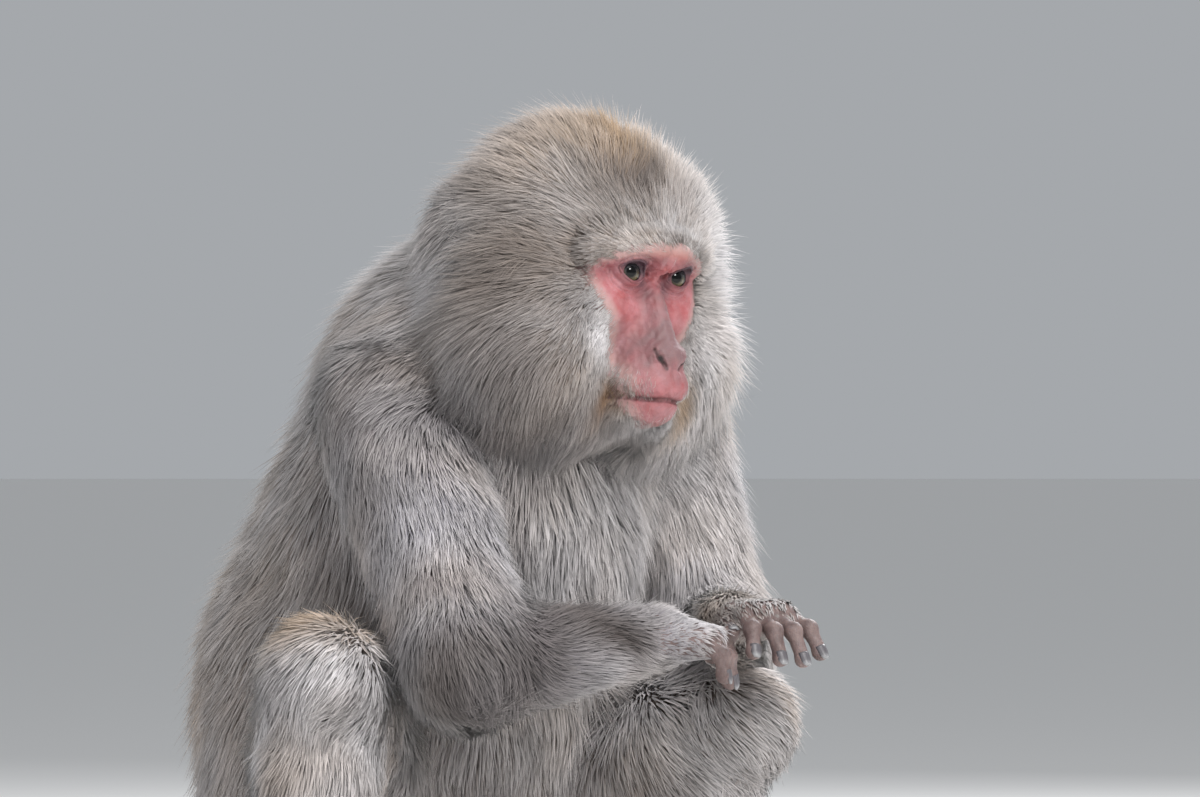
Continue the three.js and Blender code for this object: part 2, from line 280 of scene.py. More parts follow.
@dataclass(frozen=True)
class Melt(Form):
    """Forms joined by a soft fillet.

    Attributes:
        width: The width of the fillet.
        forms: The forms that are joined.
    """

    width: float
    forms: tuple[Form, ...]

    def at(self, p: Array) -> Array:
        """The soft minimum of the forms."""
        whole = self.forms[0].at(p)
        for form in self.forms[1:]:
            whole = soft_min(whole, form.at(p), self.width)
        return whole

    def box(self) -> Array:
        """The box of all the forms, with the fillet."""
        boxes = np.array([form.box() for form in self.forms])
        grow = self.width / 4.0
        return np.array([boxes[:, 0].min(axis=0) - grow, boxes[:, 1].max(axis=0) + grow])


@dataclass(frozen=True)
class Scoop(Form):
    """A form with another scooped out of it.

    Attributes:
        width: How far the rim is softened.
        body: What is scooped.
        tool: The hollow.
    """

    width: float
    body: Form
    tool: Form

    def at(self, p: Array) -> Array:
        """The soft maximum of the body and the inverted tool."""
        return -soft_min(-self.body.at(p), self.tool.at(p), self.width)

    def box(self) -> Array:
        """The box of the body."""
        return self.body.box()


@dataclass(frozen=True)
class Changed(Form):
    """A form that is changed in some way, but stays within its box.

    Attributes:
        form: The form before.
    """

    form: Form

    def box(self) -> Array:
        """The box of the form."""
        return self.form.box()


@dataclass(frozen=True)
class Thinned(Changed):
    """A form with a layer of some depth taken off all round."""

    depth: float

    def at(self, p: Array) -> Array:
        """The form's distance, plus the depth."""
        return self.form.at(p) + self.depth


@dataclass(frozen=True)
class Rolled(Changed):
    """A form that is stated in the upright frame of the head."""

    def at(self, p: Array) -> Array:
        """The form's distance at the points turned into the frame of the head."""
        return self.form.at(turned(p, 1))

    def box(self) -> Array:
        """The form's box, with room for the roll."""
        return self.form.box() + np.array([[-12.0], [12.0]])


@dataclass(frozen=True)
class Nearby(Changed):
    """A form that is only worked out within a margin round its box, to save time."""

    margin: float = 26.0

    def at(self, p: Array) -> Array:
        """The form's distance inside the wider box, and FAR elsewhere."""
        low, high = self.box()
        near = np.all((p > low) & (p < high), axis=1)
        out = np.full(len(p), FAR)
        if near.any():
            out[near] = self.form.at(p[near])
        return out

    def box(self) -> Array:
        """The form's box, widened by the margin."""
        return self.form.box() + np.array([[-self.margin], [self.margin]])


@dataclass(frozen=True)
class Standing(Changed):
    """A form cut off flat at the floor."""

    def at(self, p: Array) -> Array:
        """The larger of the form's distance and the height below the floor."""
        return np.maximum(self.form.at(p), -p[:, 2])


def lerp(a: Point, b: Point, t: float) -> Array:
    """The point that lies t of the way from a to b."""
    return np.array(a) + t * (np.array(b) - np.array(a))


def spot(v: Array) -> Point:
    """An array of three numbers as a point."""
    return (float(v[0]), float(v[1]), float(v[2]))


# ---- body ------------------------------------------------------------------------------------


@dataclass(frozen=True)
class Girth:
    """The radius of a limb at one place, with its coat and without."""

    coat: float
    flesh: float

    def of(self, layer: Layer) -> float:
        """The radius of one layer."""
        return self.coat if layer is Layer.COAT else self.flesh


def chain(width: float, joints: Sequence[Point], girths: Sequence[Girth], layer: Layer) -> Form:
    """Bones from joint to joint, with a girth at each, joined by fillets of the given width."""
    radii = [girth.of(layer) for girth in girths]
    bones = [Bone(joints[i], joints[i + 1], radii[i], radii[i + 1]) for i in range(len(joints) - 1)]
    return Melt(width, tuple(bones))


@dataclass(frozen=True)
class Digit:
    """A finger or toe of two straight stretches, with a nail at its end.

    Attributes:
        root: Where it leaves the palm or sole.
        bend: Its joint.
        tip: The centre of its end.
        radii: Its radius at the root, the joint and the tip.
        across: The level direction across the hand or foot.
    """

    root: Point
    bend: Point
    tip: Point
    radii: Point
    across: Point

    def forms(self) -> tuple[Form, ...]:
        """Two bones, a knuckle at the joint and a soft pad under the tip."""
        ra, rb, rc = self.radii
        along, back = self.axes()
        pad = np.array(self.tip) - 0.35 * rc * back - 0.3 * rc * along
        knuckle = np.array(self.bend) + 0.12 * rb * back
        return (
            Bone(self.root, self.bend, ra, rb * 0.94),
            Bone(self.bend, self.tip, rb * 0.94, rc * 0.96),
            Ball(spot(knuckle), (rb * 1.08, rb * 1.08, rb * 1.08)),
            Ball(spot(pad), (rc, rc, rc)),
        )

    def axes(self) -> tuple[Array, Array]:
        """The direction of the last stretch, and that of its back, which carries the nail."""
        along = unit(np.array(self.tip) - np.array(self.bend))
        back = unit(np.cross(along, np.array(self.across)))
        upper = np.array([0.0, -0.6, 1.0])
        return along, back if back @ upper > 0 else -back


def crosswise(start: Point, end: Point, side: Side) -> Array:
    """A level direction across a hand or foot, towards its outer edge."""
    return unit(np.cross(np.array(end) - np.array(start), UP)) * -side.value


def row_of_digits(
    root: Point,
    bend: Point,
    tips: Point,
    across: Array,
    spacing: float,
    shares: Sequence[float],
    radius: float,
    fan: float,
) -> list[Digit]:
    """Digits side by side, each a share of the middle one's length.

    Their tips stand 1 + fan times as far apart as their roots.
    """
    found = []
    for i, share in enumerate(shares):
        shift = across * (i - (len(shares) - 1) / 2.0) * spacing
        a = np.array(root) + shift
        b = lerp(root, bend, share) + shift * (1 + 0.6 * fan)
        c = b + (np.array(tips) - np.array(bend)) * share + shift * 0.4 * fan
        radii = (radius * 1.12, radius, radius * 0.86)
        found.append(Digit(spot(a), spot(b), spot(c), radii, spot(across)))
    return found


@dataclass(frozen=True)
class Arm:
    """An arm with its hand. The tips are the end of the middle finger."""

    side: Side
    shoulder: Point
    elbow: Point
    wrist: Point
    knuckles: Point
    bend: Point
    tips: Point
    fan: float

    GIRTHS = (Girth(51, 37), Girth(37, 25), Girth(21, 14))  # at the shoulder, elbow and wrist

    def limb(self, layer: Layer) -> Form:
        """The upper arm and forearm."""
        return chain(16, (self.shoulder, self.elbow, self.wrist), self.GIRTHS, layer)

    def across(self) -> Array:
        """The level direction across the hand."""
        return crosswise(self.wrist, self.knuckles, self.side)

    def digits(self) -> list[Digit]:
        """Four fingers and the thumb."""
        across = self.across()
        shares = (0.8, 0.97, 1.0, 0.85)
        found = row_of_digits(self.knuckles, self.bend, self.tips, across, 9.5, shares, 4.6, self.fan)
        root = lerp(self.wrist, self.knuckles, 0.35) - 12 * across
        tip = lerp(self.wrist, self.knuckles, 1.05) - 23 * across - np.array([0.0, 0.0, 8.0])
        middle = 0.5 * (root + tip)
        found.append(Digit(spot(root), spot(middle), spot(tip), (6.0, 5.0, 4.3), spot(across)))
        return found

    def hand(self) -> Form:
        """The palm and the digits."""
        across = self.across()
        palm = []
        for s in (-11.0, -3.0, 5.0, 12.0):
            start = np.array(self.wrist) + 0.6 * s * across
            palm.append(Bone(spot(start), spot(np.array(self.knuckles) + s * across), 12.5, 8.4))
        fingers = [form for digit in self.digits() for form in digit.forms()]
        return Melt(2.4, (Melt(6, tuple(palm)), *fingers))


@dataclass(frozen=True)
class Leg:
    """A folded leg with its foot. The tips are the end of the middle toe."""

    side: Side
    hip: Point
    knee: Point
    ankle: Point
    ball: Point
    tips: Point

    THIGH_GIRTHS = (Girth(66, 48), Girth(41, 29))
    SHIN_GIRTHS = (Girth(31, 24), Girth(36, 25), Girth(23, 16))
    CALF_AT = 0.35  # where the calf is thickest, as a share of the shin

    def limb(self, layer: Layer) -> Form:
        """The thigh, and the shin with its calf."""
        thigh = chain(0, (self.hip, self.knee), self.THIGH_GIRTHS, layer)
        calf = spot(lerp(self.knee, self.ankle, self.CALF_AT))
        return Melt(10, (thigh, chain(12, (self.knee, calf, self.ankle), self.SHIN_GIRTHS, layer)))

    def across(self) -> Array:
        """The level direction across the foot."""
        return crosswise(self.ankle, self.ball, self.side)

    def heel(self) -> Array:
        """The centre of the heel."""
        forward = unit(np.array([self.ball[0] - self.ankle[0], self.ball[1] - self.ankle[1], 0.0]))
        return np.array([self.ankle[0], self.ankle[1], 14.0]) - 20 * forward

    def digits(self) -> list[Digit]:
        """Four toes and the big toe, which stands off to the inner side."""
        across = self.across()
        bend = lerp(self.ball, self.tips, 0.55) + np.array([0.0, 0.0, 3.0])
        shares = (0.78, 0.95, 1.0, 0.88)
        found = row_of_digits(self.ball, spot(bend), self.tips, across, 10.5, shares, 6.0, 0.0)
        root = lerp(spot(self.heel()), self.ball, 0.62) - 12 * across
        tip = lerp(spot(self.heel()), self.ball, 0.98) - 34 * across
        tip[2] = 7.0
        middle = 0.5 * (root + tip) + np.array([0.0, 0.0, 1.5])
        found.append(Digit(spot(root), spot(middle), spot(tip), (9.5, 8.0, 6.8), spot(across)))
        return found

    def foot(self) -> Form:
        """The heel, sole, instep and digits."""
        across = self.across()
        heel = spot(self.heel())
        sole = [Bone(heel, spot(np.array(self.ball) + s * across), 15, 10.5) for s in (-13, -4, 5, 13)]
        ankle = (self.ankle[0], self.ankle[1], 34.0)
        instep = Bone(ankle, spot(lerp(self.ankle, self.ball, 0.75)), 18, 10.5)
        toes = [form for digit in self.digits() for form in digit.forms()]
        return Melt(3.0, (Melt(10, (*sole, instep)), *toes))


ARMS = (
    Arm(
        Side.RIGHT,
        shoulder=(-86, -72, 340),
        elbow=(-118, -162, 197),
        wrist=(-5, -197, 212),
        knuckles=(13, -220, 210),
        bend=(20, -228, 201),
        tips=(22, -230, 187),
        fan=0.1,
    ),
    Arm(
        Side.LEFT,
        shoulder=(91, -88, 346),
        elbow=(124, -114, 204),
        wrist=(61, -191, 219),
        knuckles=(56, -222, 223),
        bend=(53, -240, 215),
        tips=(51, -249, 199),
        fan=0.6,
    ),
)
LEGS = (
    Leg(
        Side.RIGHT,
        hip=(-52, -2, 108),
        knee=(-165, -99, 190),
        ankle=(-158, -72, 40),
        ball=(-182, -146, 11),
        tips=(-196, -192, 8),
    ),
    Leg(
        Side.LEFT,
        hip=(52, -2, 108),
        knee=(86, -168, 163),
        ankle=(84, -92, 40),
        ball=(100, -170, 11),
        tips=(110, -220, 8),
    ),
)


@dataclass(frozen=True)
class Trunk:
    """The trunk, neck, tail and seat pads."""

    coat_depth: float = 20.0
    neck: tuple[Point, Point] = ((0, -62, 362), (0, -112, 404))
    tail: tuple[Point, ...] = ((0, 104, 74), (0, 138, 62), (0, 156, 38), (0, 161, 26))
    tail_girths: tuple[Girth, ...] = (Girth(19, 12), Girth(17, 10), Girth(15, 8), Girth(10, 5))

    def torso(self, layer: Layer) -> Form:
        """Rump, flanks, belly, ribs, withers and neck."""
        masses = (
            Ball((0, 24, 118), (108, 116, 112)),
            Ball((0, 24, 198), (110, 112, 98)),
            Ball((0, -42, 196), (86, 86, 86)),
            Ball((0, -38, 284), (110, 118, 100)),
            Ball((0, -68, 370), (98, 90, 62)),
            Bone(*self.neck, 84, 68),
        )
        whole = Melt(46, masses)
        return whole if layer is Layer.COAT else Thinned(whole, self.coat_depth)

    def tail_form(self, layer: Layer) -> Form:
        """The short tail, which curves down behind the rump."""
        return chain(8, self.tail, self.tail_girths, layer)

    def seat(self) -> Form:
        """The two bare pads under the rump, with what joins them to it."""
        pads = [Ball((side.value * 25, 4, 7), (21.5, 29.5, 14.5)) for side in Side]
        stems = [Bone((side.value * 25, 4, 12), (side.value * 30, 8, 46), 15, 22) for side in Side]
        return Melt(8, (*pads, Bone((-22, 0, 9), (22, 0, 9), 14, 14), *stems))


def bow(half: float, rise: Array | float) -> Array | float:
    """The radius of an arc that rises so far between two ends, each half its width aside."""
    return (half**2 + rise**2) / (2 * rise)


@dataclass(frozen=True)
class Eye:
    """An eyeball between its lids, in the frame of the head.

    Attributes:
        side: Which eye it is.
        centre: The centre of the eyeball.
        radius: Its radius.
        iris: The radius of the iris.
        pupil: The radius of the pupil.

    The lids bulge to LID_RADIUS round the centre. Their opening is HALF_WIDTH to each side and
    reaches ABOVE and BELOW the line between its corners, and its edge is MARGIN thick.
    """

    side: Side
    centre: Point
    radius: float
    iris: float = 6.6
    pupil: float = 2.7

    LID_RADIUS = 10.9
    MARGIN = 0.7
    HALF_WIDTH = 9.0
    ABOVE = 5.7
    BELOW = 5.5
    SLANT = math.radians(14)  # of the line between the corners
    SPLAY = math.radians(5)  # outwards, of the plane of the opening

    def axes(self) -> tuple[Array, Array, Array]:
        """The directions to the outer corner of the opening, up across it and ahead of it."""
        out = self.side.value
        ahead = np.array([out * math.sin(self.SPLAY), -math.cos(self.SPLAY), 0.0])
        level = np.array([out * math.cos(self.SPLAY), math.sin(self.SPLAY), 0.0])
        across = math.cos(self.SLANT) * level + math.sin(self.SLANT) * UP
        upward = math.cos(self.SLANT) * UP - math.sin(self.SLANT) * level
        return across, upward, ahead

    def opening(self, p: Array) -> tuple[Array, Array, Array]:
        """The almond between the lids.

        It is the overlap of two circles, in a plane that faces forward and outward. The outer
        corner is the higher one.

        Args:
            p: Points in the frame of the head.

        Returns:
            The distance to the almond's edge (negative inside), the height over the line between
            its corners, and the distance in front of the centre.
        """
        d = p - np.array(self.centre)
        across, upward, ahead = self.axes()
        u, w = d @ across, d @ upward
        upper, lower = bow(self.HALF_WIDTH, self.ABOVE), bow(self.HALF_WIDTH, self.BELOW)
        below_upper = np.hypot(u, w - self.ABOVE + upper) - upper
        above_lower = np.hypot(u, w + self.BELOW - lower) - lower
        return np.maximum(below_upper, above_lower), w, d @ ahead


@dataclass(frozen=True)
class Almond(Form):
    """The opening of an eye, cut into the lids."""

    eye: Eye

    def at(self, p: Array) -> Array:
        """The larger of the almond's own distance and the distance behind the eye's centre."""
        edge, _, ahead = self.eye.opening(p)
        return np.maximum(edge, -ahead)

    def box(self) -> Array:
        """The box of the eye."""
        return Ball(self.eye.centre, (self.eye.radius,) * 3).box()


def nostril(side: Side) -> Form:
    """A comma-shaped nostril, in the frame of the head, from the wing down to the middle."""
    s = side.value
    top = Bone((s * 11.4, -206.2, 371.0), (s * 9.4, -209.0, 366.2), 0.8, 1.45)
    foot = Bone((s * 9.4, -209.0, 366.2), (s * 4.6, -209.9, 361.0), 1.45, 0.7)
    return Melt(1.0, (top, foot))


@dataclass(frozen=True)
class Head:
    """The head, with its bare face, stated in the upright frame of the head.

    Attributes:
        eyes: The two eyes.
        rim: Heights of the bare face's edge, from the chin up.
        half_widths: The bare face's half width at each of those heights.
        muzzle: Where the hair of the face starts to part from.
        mouth_level: The height of the line of the mouth.
        mouth_half_width: How far it reaches to each side.
    """

    eyes: tuple[Eye, ...]
    rim: tuple[float, ...] = (328, 334, 342, 350, 360, 370, 380, 390, 400, 410, 440)
    half_widths: tuple[float, ...] = (4, 14, 20, 22, 22.5, 23.5, 25, 29, 35.5, 41, 44)
    muzzle: Point = (0.0, -200.0, 392.0)
    mouth_level: float = 343.2
    mouth_half_width: float = 25.0

    def coat(self) -> Form:
        """The outline of the head, out to the tips of its coat."""
        sides = []
        for side in Side:
            sides.append(Ball((side.value * 53, -138, 424), (44, 44, 63)))
            sides.append(Ball((side.value * 54, -141, 366), (56, 48, 56)))
        skull = Ball((0, -126, 426), (88, 66, 86))
        brow = Bone((-26, -178, 440), (26, -178, 440), 14, 14)
        return Melt(22, (skull, brow, *sides, Ball((0, -152, 332), (46, 42, 29))))

    def skull(self) -> Form:
        """The head under the coat: braincase, temples, jaws and throat."""
        sides = []
        for side in Side:
            sides.append(Ball((side.value * 30, -136, 426), (40, 40, 46)))
            sides.append(Ball((side.value * 37, -146, 372), (44, 40, 42)))
        braincase = Ball((0, -122, 430), (68, 54, 66))
        return Melt(20, (braincase, *sides, Ball((0, -156, 344), (30, 30, 20))))

    def plain_face(self) -> Form:
        """The masses of the face: brows, cheekbones, nose, muzzle, lips and chin."""
        masses: list[Form] = [
            Ball((0, -158, 402), (44, 32, 32)),
            Bone((0, -184, 406), (0, -197, 373), 6, 8.5),
            Bone((0, -173, 388), (0, -188, 359), 16, 21),
            Ball((0, -190, 352), (24, 21.5, 11.5)),
            Ball((0, -185, 338), (20, 19, 10)),
            Bone((0, -194, 421), (0, -186, 431), 7.5, 9.5),
            Bone((-24, -170, 437), (24, -170, 437), 14.5, 14.5),
        ]
        for side in Side:
            s = side.value
            masses.append(Bone((s * 8, -199.5, 425.5), (s * 37, -181.5, 424.5), 7.6, 8.8))
            masses.append(Ball((s * 24, -166, 393), (22, 26, 24)))
            masses.append(Ball((s * 35, -160, 404), (13, 23, 20)))
        form: Form = Melt(8, tuple(masses))
        for side in Side:
            form = Scoop(4, form, Ball((side.value * 20, -206, 410.5), (12.5, 15, 8)))
        return form

    def closed_face(self) -> Form:
        """The face with the wings of the nose and the bulge of the lids over each eye."""
        form = self.plain_face()
        ridge = Bone((0, -192, 403), (0, -204.5, 371), 4.4, 6.6)
        wings = [Ball((side.value * 7.4, -203, 369), (5.2, 8.0, 6.4)) for side in Side]
        form = Melt(4, (form, ridge, Ball((0, -207.5, 368), (6.2, 6.5, 5.8)), *wings))
        return Melt(3.6, (form, *(Ball(eye.centre, (eye.LID_RADIUS,) * 3) for eye in self.eyes)))

    def lid_edge(self, eye: Eye) -> "Net":
        """The soft edge of the lids of one eye: a closed tube along the almond, on the closed face.

        t runs along the almond: u = half width * cos t, and w follows the upper circle and then
        the lower one. Ahead of each such spot the face is sampled at even steps, and the tube lies
        a little under the outermost crossing.
        """
        steps, turns, grown, step = 84, 10, 0.2, 0.1
        t = circle(steps)
        half = eye.HALF_WIDTH + grown
        u = half * np.cos(t)
        rise = np.where(np.sin(t) >= 0.0, eye.ABOVE, eye.BELOW) + grown
        radius = bow(half, rise)
        w = rise - radius + np.sqrt(np.maximum(radius**2 - u**2, 0.0))
        w *= np.where(np.sin(t) >= 0.0, 1.0, -1.0)
        across, upward, ahead = eye.axes()
        flat = np.array(eye.centre) + u[:, None] * across + w[:, None] * upward
        out_by = np.arange(3.0, 18.0, step)
        inside = self.closed_face().at((flat[:, None] + out_by[:, None] * ahead).reshape(-1, 3)) < 0.0
        last = out_by[-1] - step * np.argmax(inside.reshape(steps, -1)[:, ::-1], axis=1)
        last = (np.roll(last, 1) + last + np.roll(last, -1)) / 3.0
        line = flat + (last - 0.45 * eye.MARGIN)[:, None] * ahead
        along = units(np.roll(line, -1, axis=0) - np.roll(line, 1, axis=0))
        aside = units(np.cross(along, ahead))
        front = np.cross(aside, along)
        points = line[:, None] + eye.MARGIN * swing(circle(turns), front[:, None], aside[:, None])
        return Net(points.reshape(-1, 3), band_faces(steps, steps, turns)).facing_out()

    def face(self) -> Form:
        """The face with its eyes open and the nostrils."""
        form = self.closed_face()
        for eye in self.eyes:
            form = Scoop(1.2, form, Almond(eye))
            form = Melt(0.4, (form, Ball(eye.centre, (eye.radius - 2.2,) * 3)))
        for side in Side:
            form = Scoop(1.2, form, nostril(side))
        return form

    def ears(self) -> Form:
        """The ears, each a cup on a stalk that is hidden in the coat."""
        cups = []
        for side in Side:
            s = side.value
            leaf = Ball((s * 77, -107, 437), (6, 9, 14), 0.2)
            cup = Scoop(3, leaf, Ball((s * 82, -113, 438), (5, 6.5, 10), 0.2))
            cups.append(Melt(5, (cup, Bone((s * 56, -108, 436), (s * 76, -106, 436), 11, 8))))
        return Melt(2, tuple(cups))

    def edge(self, p: Array) -> Array:
        """How far outside the bare face each point is, in millimetres, negative on bare skin.

        The bare face is bounded sideways by the table of half widths, above by the brow's line,
        which falls by 0.007 x squared, and below by the chin.
        """
        q = turned(p, 1)
        beside = np.abs(q[:, 0]) - np.interp(q[:, 2], self.rim, self.half_widths)
        above = q[:, 2] - (427.8 - 0.007 * q[:, 0] ** 2)
        outside = np.maximum(np.maximum(beside, above), self.rim[0] - q[:, 2])
        return np.where(q[:, 1] < -140.0, outside, FAR)

    def mouth(self, p: Array) -> tuple[Array, Array]:
        """The height over the line of the mouth and the share of the mouth at that width."""
        q = turned(p, 1)
        line = self.mouth_level + 0.0034 * q[:, 0] ** 2 + 0.5 * np.cos(q[:, 0] / 5.0)
        share = 1.0 - ramp(np.abs(q[:, 0]), self.mouth_half_width - 8.0, self.mouth_half_width + 2.0)
        return q[:, 2] - line, share * ramp(-q[:, 1], 170.0, 180.0)


@dataclass(frozen=True)
class Creased(Changed):
    """The face of a head with its creases: mouth, lip groove, lid folds and frown."""

    head: Head

    def at(self, p: Array) -> Array:
        """The form's distance plus the depth of each crease, a bell curve across its line."""
        depth = self.form.at(p)
        near = np.flatnonzero((np.abs(depth) < 6.0) & (self.head.edge(p) < 8.0))
        if len(near):
            depth[near] += self.creases(p[near])
        return depth

    def creases(self, p: Array) -> Array:
        """The depth of all creases at points close to the face."""
        q = turned(p, 1)
        height, share = self.head.mouth(p)
        total = 2.4 * share * bell(height, 0.95)
        total -= 0.3 * share * bell(np.abs(height) - 3.6, 2.2)
        groove = bell(q[:, 0], 1.3) * ramp(q[:, 2], 349, 352) * ramp(-q[:, 2], -364, -361)
        total += 0.6 * groove
        for eye in self.head.eyes:
            edge, over, ahead = eye.opening(q)
            facing = ramp(ahead, 0.0, 5.0) * ramp(-np.abs(q[:, 0]), -44.0, -34.0)
            upper = bell(edge - 2.6, 0.7) * ramp(over, 0.0, 3.0)
            lower = bell(edge - 3.4, 0.8) + 0.7 * bell(edge - 6.6, 1.0) + 0.5 * bell(edge - 9.8, 1.1)
            total += facing * (0.9 * upper + 1.3 * lower * ramp(-over, 0.5, 4.0))
        frown = bell(np.abs(q[:, 0]) - 3.2, 1.2) * ramp(q[:, 2], 407, 413)
        total += 0.7 * frown * ramp(-q[:, 2], -428, -420)
        bridge = 0.5 + 0.5 * np.sin(q[:, 2] * 2.0 * math.pi / 4.2 + 0.12 * q[:, 0] ** 2)
        bridge *= ramp(-np.abs(q[:, 0]), -9, -5) * ramp(q[:, 2], 401, 405) * ramp(-q[:, 2], -419, -413)
        total += 0.4 * bridge
        return total + 0.16 * waves(q, 5.0, 3) + 0.12 * waves(q, 2.4, 4)


@dataclass(frozen=True)
class Macaque:
    """The whole animal: its outline with the coat, and its flesh."""

    trunk: Trunk
    head: Head
    arms: tuple[Arm, ...]
    legs: tuple[Leg, ...]

    def limbs(self, layer: Layer) -> list[Form]:
        """Both arms and both legs, without hands and feet."""
        return [limb.limb(layer) for limb in (*self.arms, *self.legs)]

    def outline(self) -> Form:
        """The tips of the coat, over the whole animal."""
        parts = [self.trunk.torso(Layer.COAT), Rolled(self.head.coat()), self.trunk.tail_form(Layer.COAT)]
        parts += [Rolled(Ball((side.value * 84, -106, 438), (17, 22, 26))) for side in Side]
        parts.append(Rolled(Ball((0, -176, 321), (28, 25, 21))))
        return Melt(2, tuple(Nearby(part, 60.0) for part in [*parts, *self.limbs(Layer.COAT)]))

    def flesh(self, fine: bool) -> Form:
        """The skin's surface.

        Args:
            fine: Whether the face has open eyes, nostrils and creases.

        Returns:
            The form of the whole skin, cut off at the floor.
        """
        face = Nearby(Rolled(self.head.face() if fine else self.head.closed_face()), 14.0)
        others = [Rolled(self.head.skull()), self.trunk.tail_form(Layer.FLESH), *self.limbs(Layer.FLESH)]
        furred = Melt(14, (self.trunk.torso(Layer.FLESH), *(Nearby(part) for part in others)))
        ends = [arm.hand() for arm in self.arms] + [leg.foot() for leg in self.legs]
        bare = (Nearby(self.trunk.seat()), Nearby(Rolled(self.head.ears())), *(Nearby(end) for end in ends))
        whole = Melt(6, (furred, face, *bare))
        return Standing(Creased(whole, self.head) if fine else whole)


# ---- meshes ----------------------------------------------------------------------------------


@dataclass
class Net:
    """A mesh of triangles, in millimetres.

    Attributes:
        points: One row for each vertex.
        triangles: Three vertex numbers for each face, seen anticlockwise from outside.
    """

    points: Array
    triangles: Ints

    SPLITS = (  # with 0 to 3 halved edges, from the corners 0, 1, 2 and the new middles 3, 4, 5
        ((0, 1, 2),),
        ((0, 3, 2), (3, 1, 2)),
        ((3, 1, 4), (0, 3, 4), (0, 4, 2)),
        ((0, 3, 5), (3, 1, 4), (5, 4, 2), (3, 4, 5)),
    )

    def normals(self) -> Array:
        """The normal at each vertex: the mean of its faces' normals, weighted by their areas."""
        a, b, c = (self.points[self.triangles[:, i]] for i in range(3))
        across = np.cross(b - a, c - a)
        total = np.zeros_like(self.points)
        for axis in range(3):
            weights = np.repeat(across[:, axis], 3)
            total[:, axis] = np.bincount(self.triangles.ravel(), weights, len(self.points))
        return units(total)

    def facing_out(self) -> "Net":
        """The net with its triangles turned so that it encloses a positive volume."""
        d = self.points - self.points.mean(axis=0)
        a, b, c = (d[self.triangles[:, i]] for i in range(3))
        return self if dots(a, np.cross(b, c)).sum() > 0 else Net(self.points, self.triangles[:, ::-1])

    def edges(self) -> tuple[Ints, Ints]:
        """Each edge once, as two vertex numbers, and the three edges of each triangle."""
        pairs = np.sort(self.triangles[:, [[0, 1], [1, 2], [2, 0]]], axis=-1).reshape(-1, 2)
        keys, inverse = np.unique(pairs[:, 0] * len(self.points) + pairs[:, 1], return_inverse=True)
        ends = np.stack([keys // len(self.points), keys % len(self.points)], axis=1)
        return ends, inverse.reshape(-1, 3)

    def relaxed(self, share: float | Array) -> "Net":
        """The net with each vertex moved a share of the way to the middle of its neighbours."""
        ends, _ = self.edges()
        both = np.concatenate([ends, ends[:, ::-1]])
        count = np.bincount(both[:, 0], minlength=len(self.points))
        middle = np.empty_like(self.points)
        for axis in range(3):
            middle[:, axis] = np.bincount(both[:, 0], self.points[both[:, 1], axis], len(self.points))
        middle /= np.maximum(count, 1)[:, None]
        return Net(self.points + np.reshape(share, (-1, 1)) * (middle - self.points), self.triangles)

    def onto(self, form: Form, passes: int, most: float, step: float = 0.25) -> "Net":
        """The net with its vertices moved onto a form's surface by Newton steps.

        Args:
            form: The form.
            passes: How many steps each vertex makes.
            most: How long a step may be, in millimetres.
            step: The difference that the form's gradient is taken over, in millimetres.
        """
        p = self.points
        for _ in range(passes):
            value = form.at(p)
            gradient = np.stack([form.at(p + shift) - value for shift in step * np.eye(3)], axis=1) / step
            move = value[:, None] * gradient / np.maximum(dots(gradient, gradient), 0.25)[:, None]
            p = p - move * np.minimum(1.0, most / np.maximum(lengths(move), 1e-9))[:, None]
        return Net(p, self.triangles)

    def split(self, longest: Callable[[Array], Array]) -> "Net":
        """The net with every edge halved that is longer than allowed at its middle.

        A triangle with one, two or three halved edges becomes two, three or four triangles. Each is
        first turned so that its halved edges come first, and SPLITS says what it is cut into.
        """
        ends, of_triangle = self.edges()
        a, b = self.points[ends[:, 0]], self.points[ends[:, 1]]
        halved = lengths(b - a) > longest(0.5 * (a + b))
        number = np.full(len(ends), -1)
        number[halved] = len(self.points) + np.arange(int(halved.sum()))
        points = np.concatenate([self.points, 0.5 * (a + b)[halved]])
        middles = number[of_triangle]
        count = (middles >= 0).sum(axis=1)
        first = np.where(count == 2, (np.argmin(middles, axis=1) + 1) % 3, np.argmax(middles, axis=1))
        turn = (np.arange(3) + first[:, None]) % 3
        v = np.take_along_axis(self.triangles, turn, axis=1)
        m = np.take_along_axis(middles, turn, axis=1)
        both = np.concatenate([v, m], axis=1)
        parts = [both[count == cuts][:, new] for cuts, new in enumerate(self.SPLITS)]
        return Net(points, np.concatenate([part[:, i] for part in parts for i in range(part.shape[1])]))


def halves(a: Ints, b: Ints, c: Ints, d: Ints) -> Ints:
    """The two triangles of each quad a, b, c, d."""
    return np.concatenate([np.stack([a, b, c], axis=1), np.stack([a, c, d], axis=1)])


def band_faces(bands: int, rings: int, turns: int) -> Ints:
    """Faces from each ring of vertices to the next one, after the last of which comes the first."""
    i, j = np.meshgrid(np.arange(bands), np.arange(turns), indexing="ij")
    i, j = i.ravel(), j.ravel()
    after, beside = (i + 1) % rings, (j + 1) % turns
    return halves(i * turns + j, after * turns + j, after * turns + beside, i * turns + beside)


def globe_faces(rings: int, turns: int) -> Ints:
    """Faces of a closed stack of rings, whose last two vertices are its poles."""
    k = np.arange(turns)
    beside = (k + 1) % turns
    last = (rings - 1) * turns
    top = np.stack([np.full(turns, rings * turns), k, beside], axis=1)
    bottom = np.stack([np.full(turns, rings * turns + 1), last + beside, last + k], axis=1)
    return np.concatenate([band_faces(rings - 1, rings, turns), top, bottom])


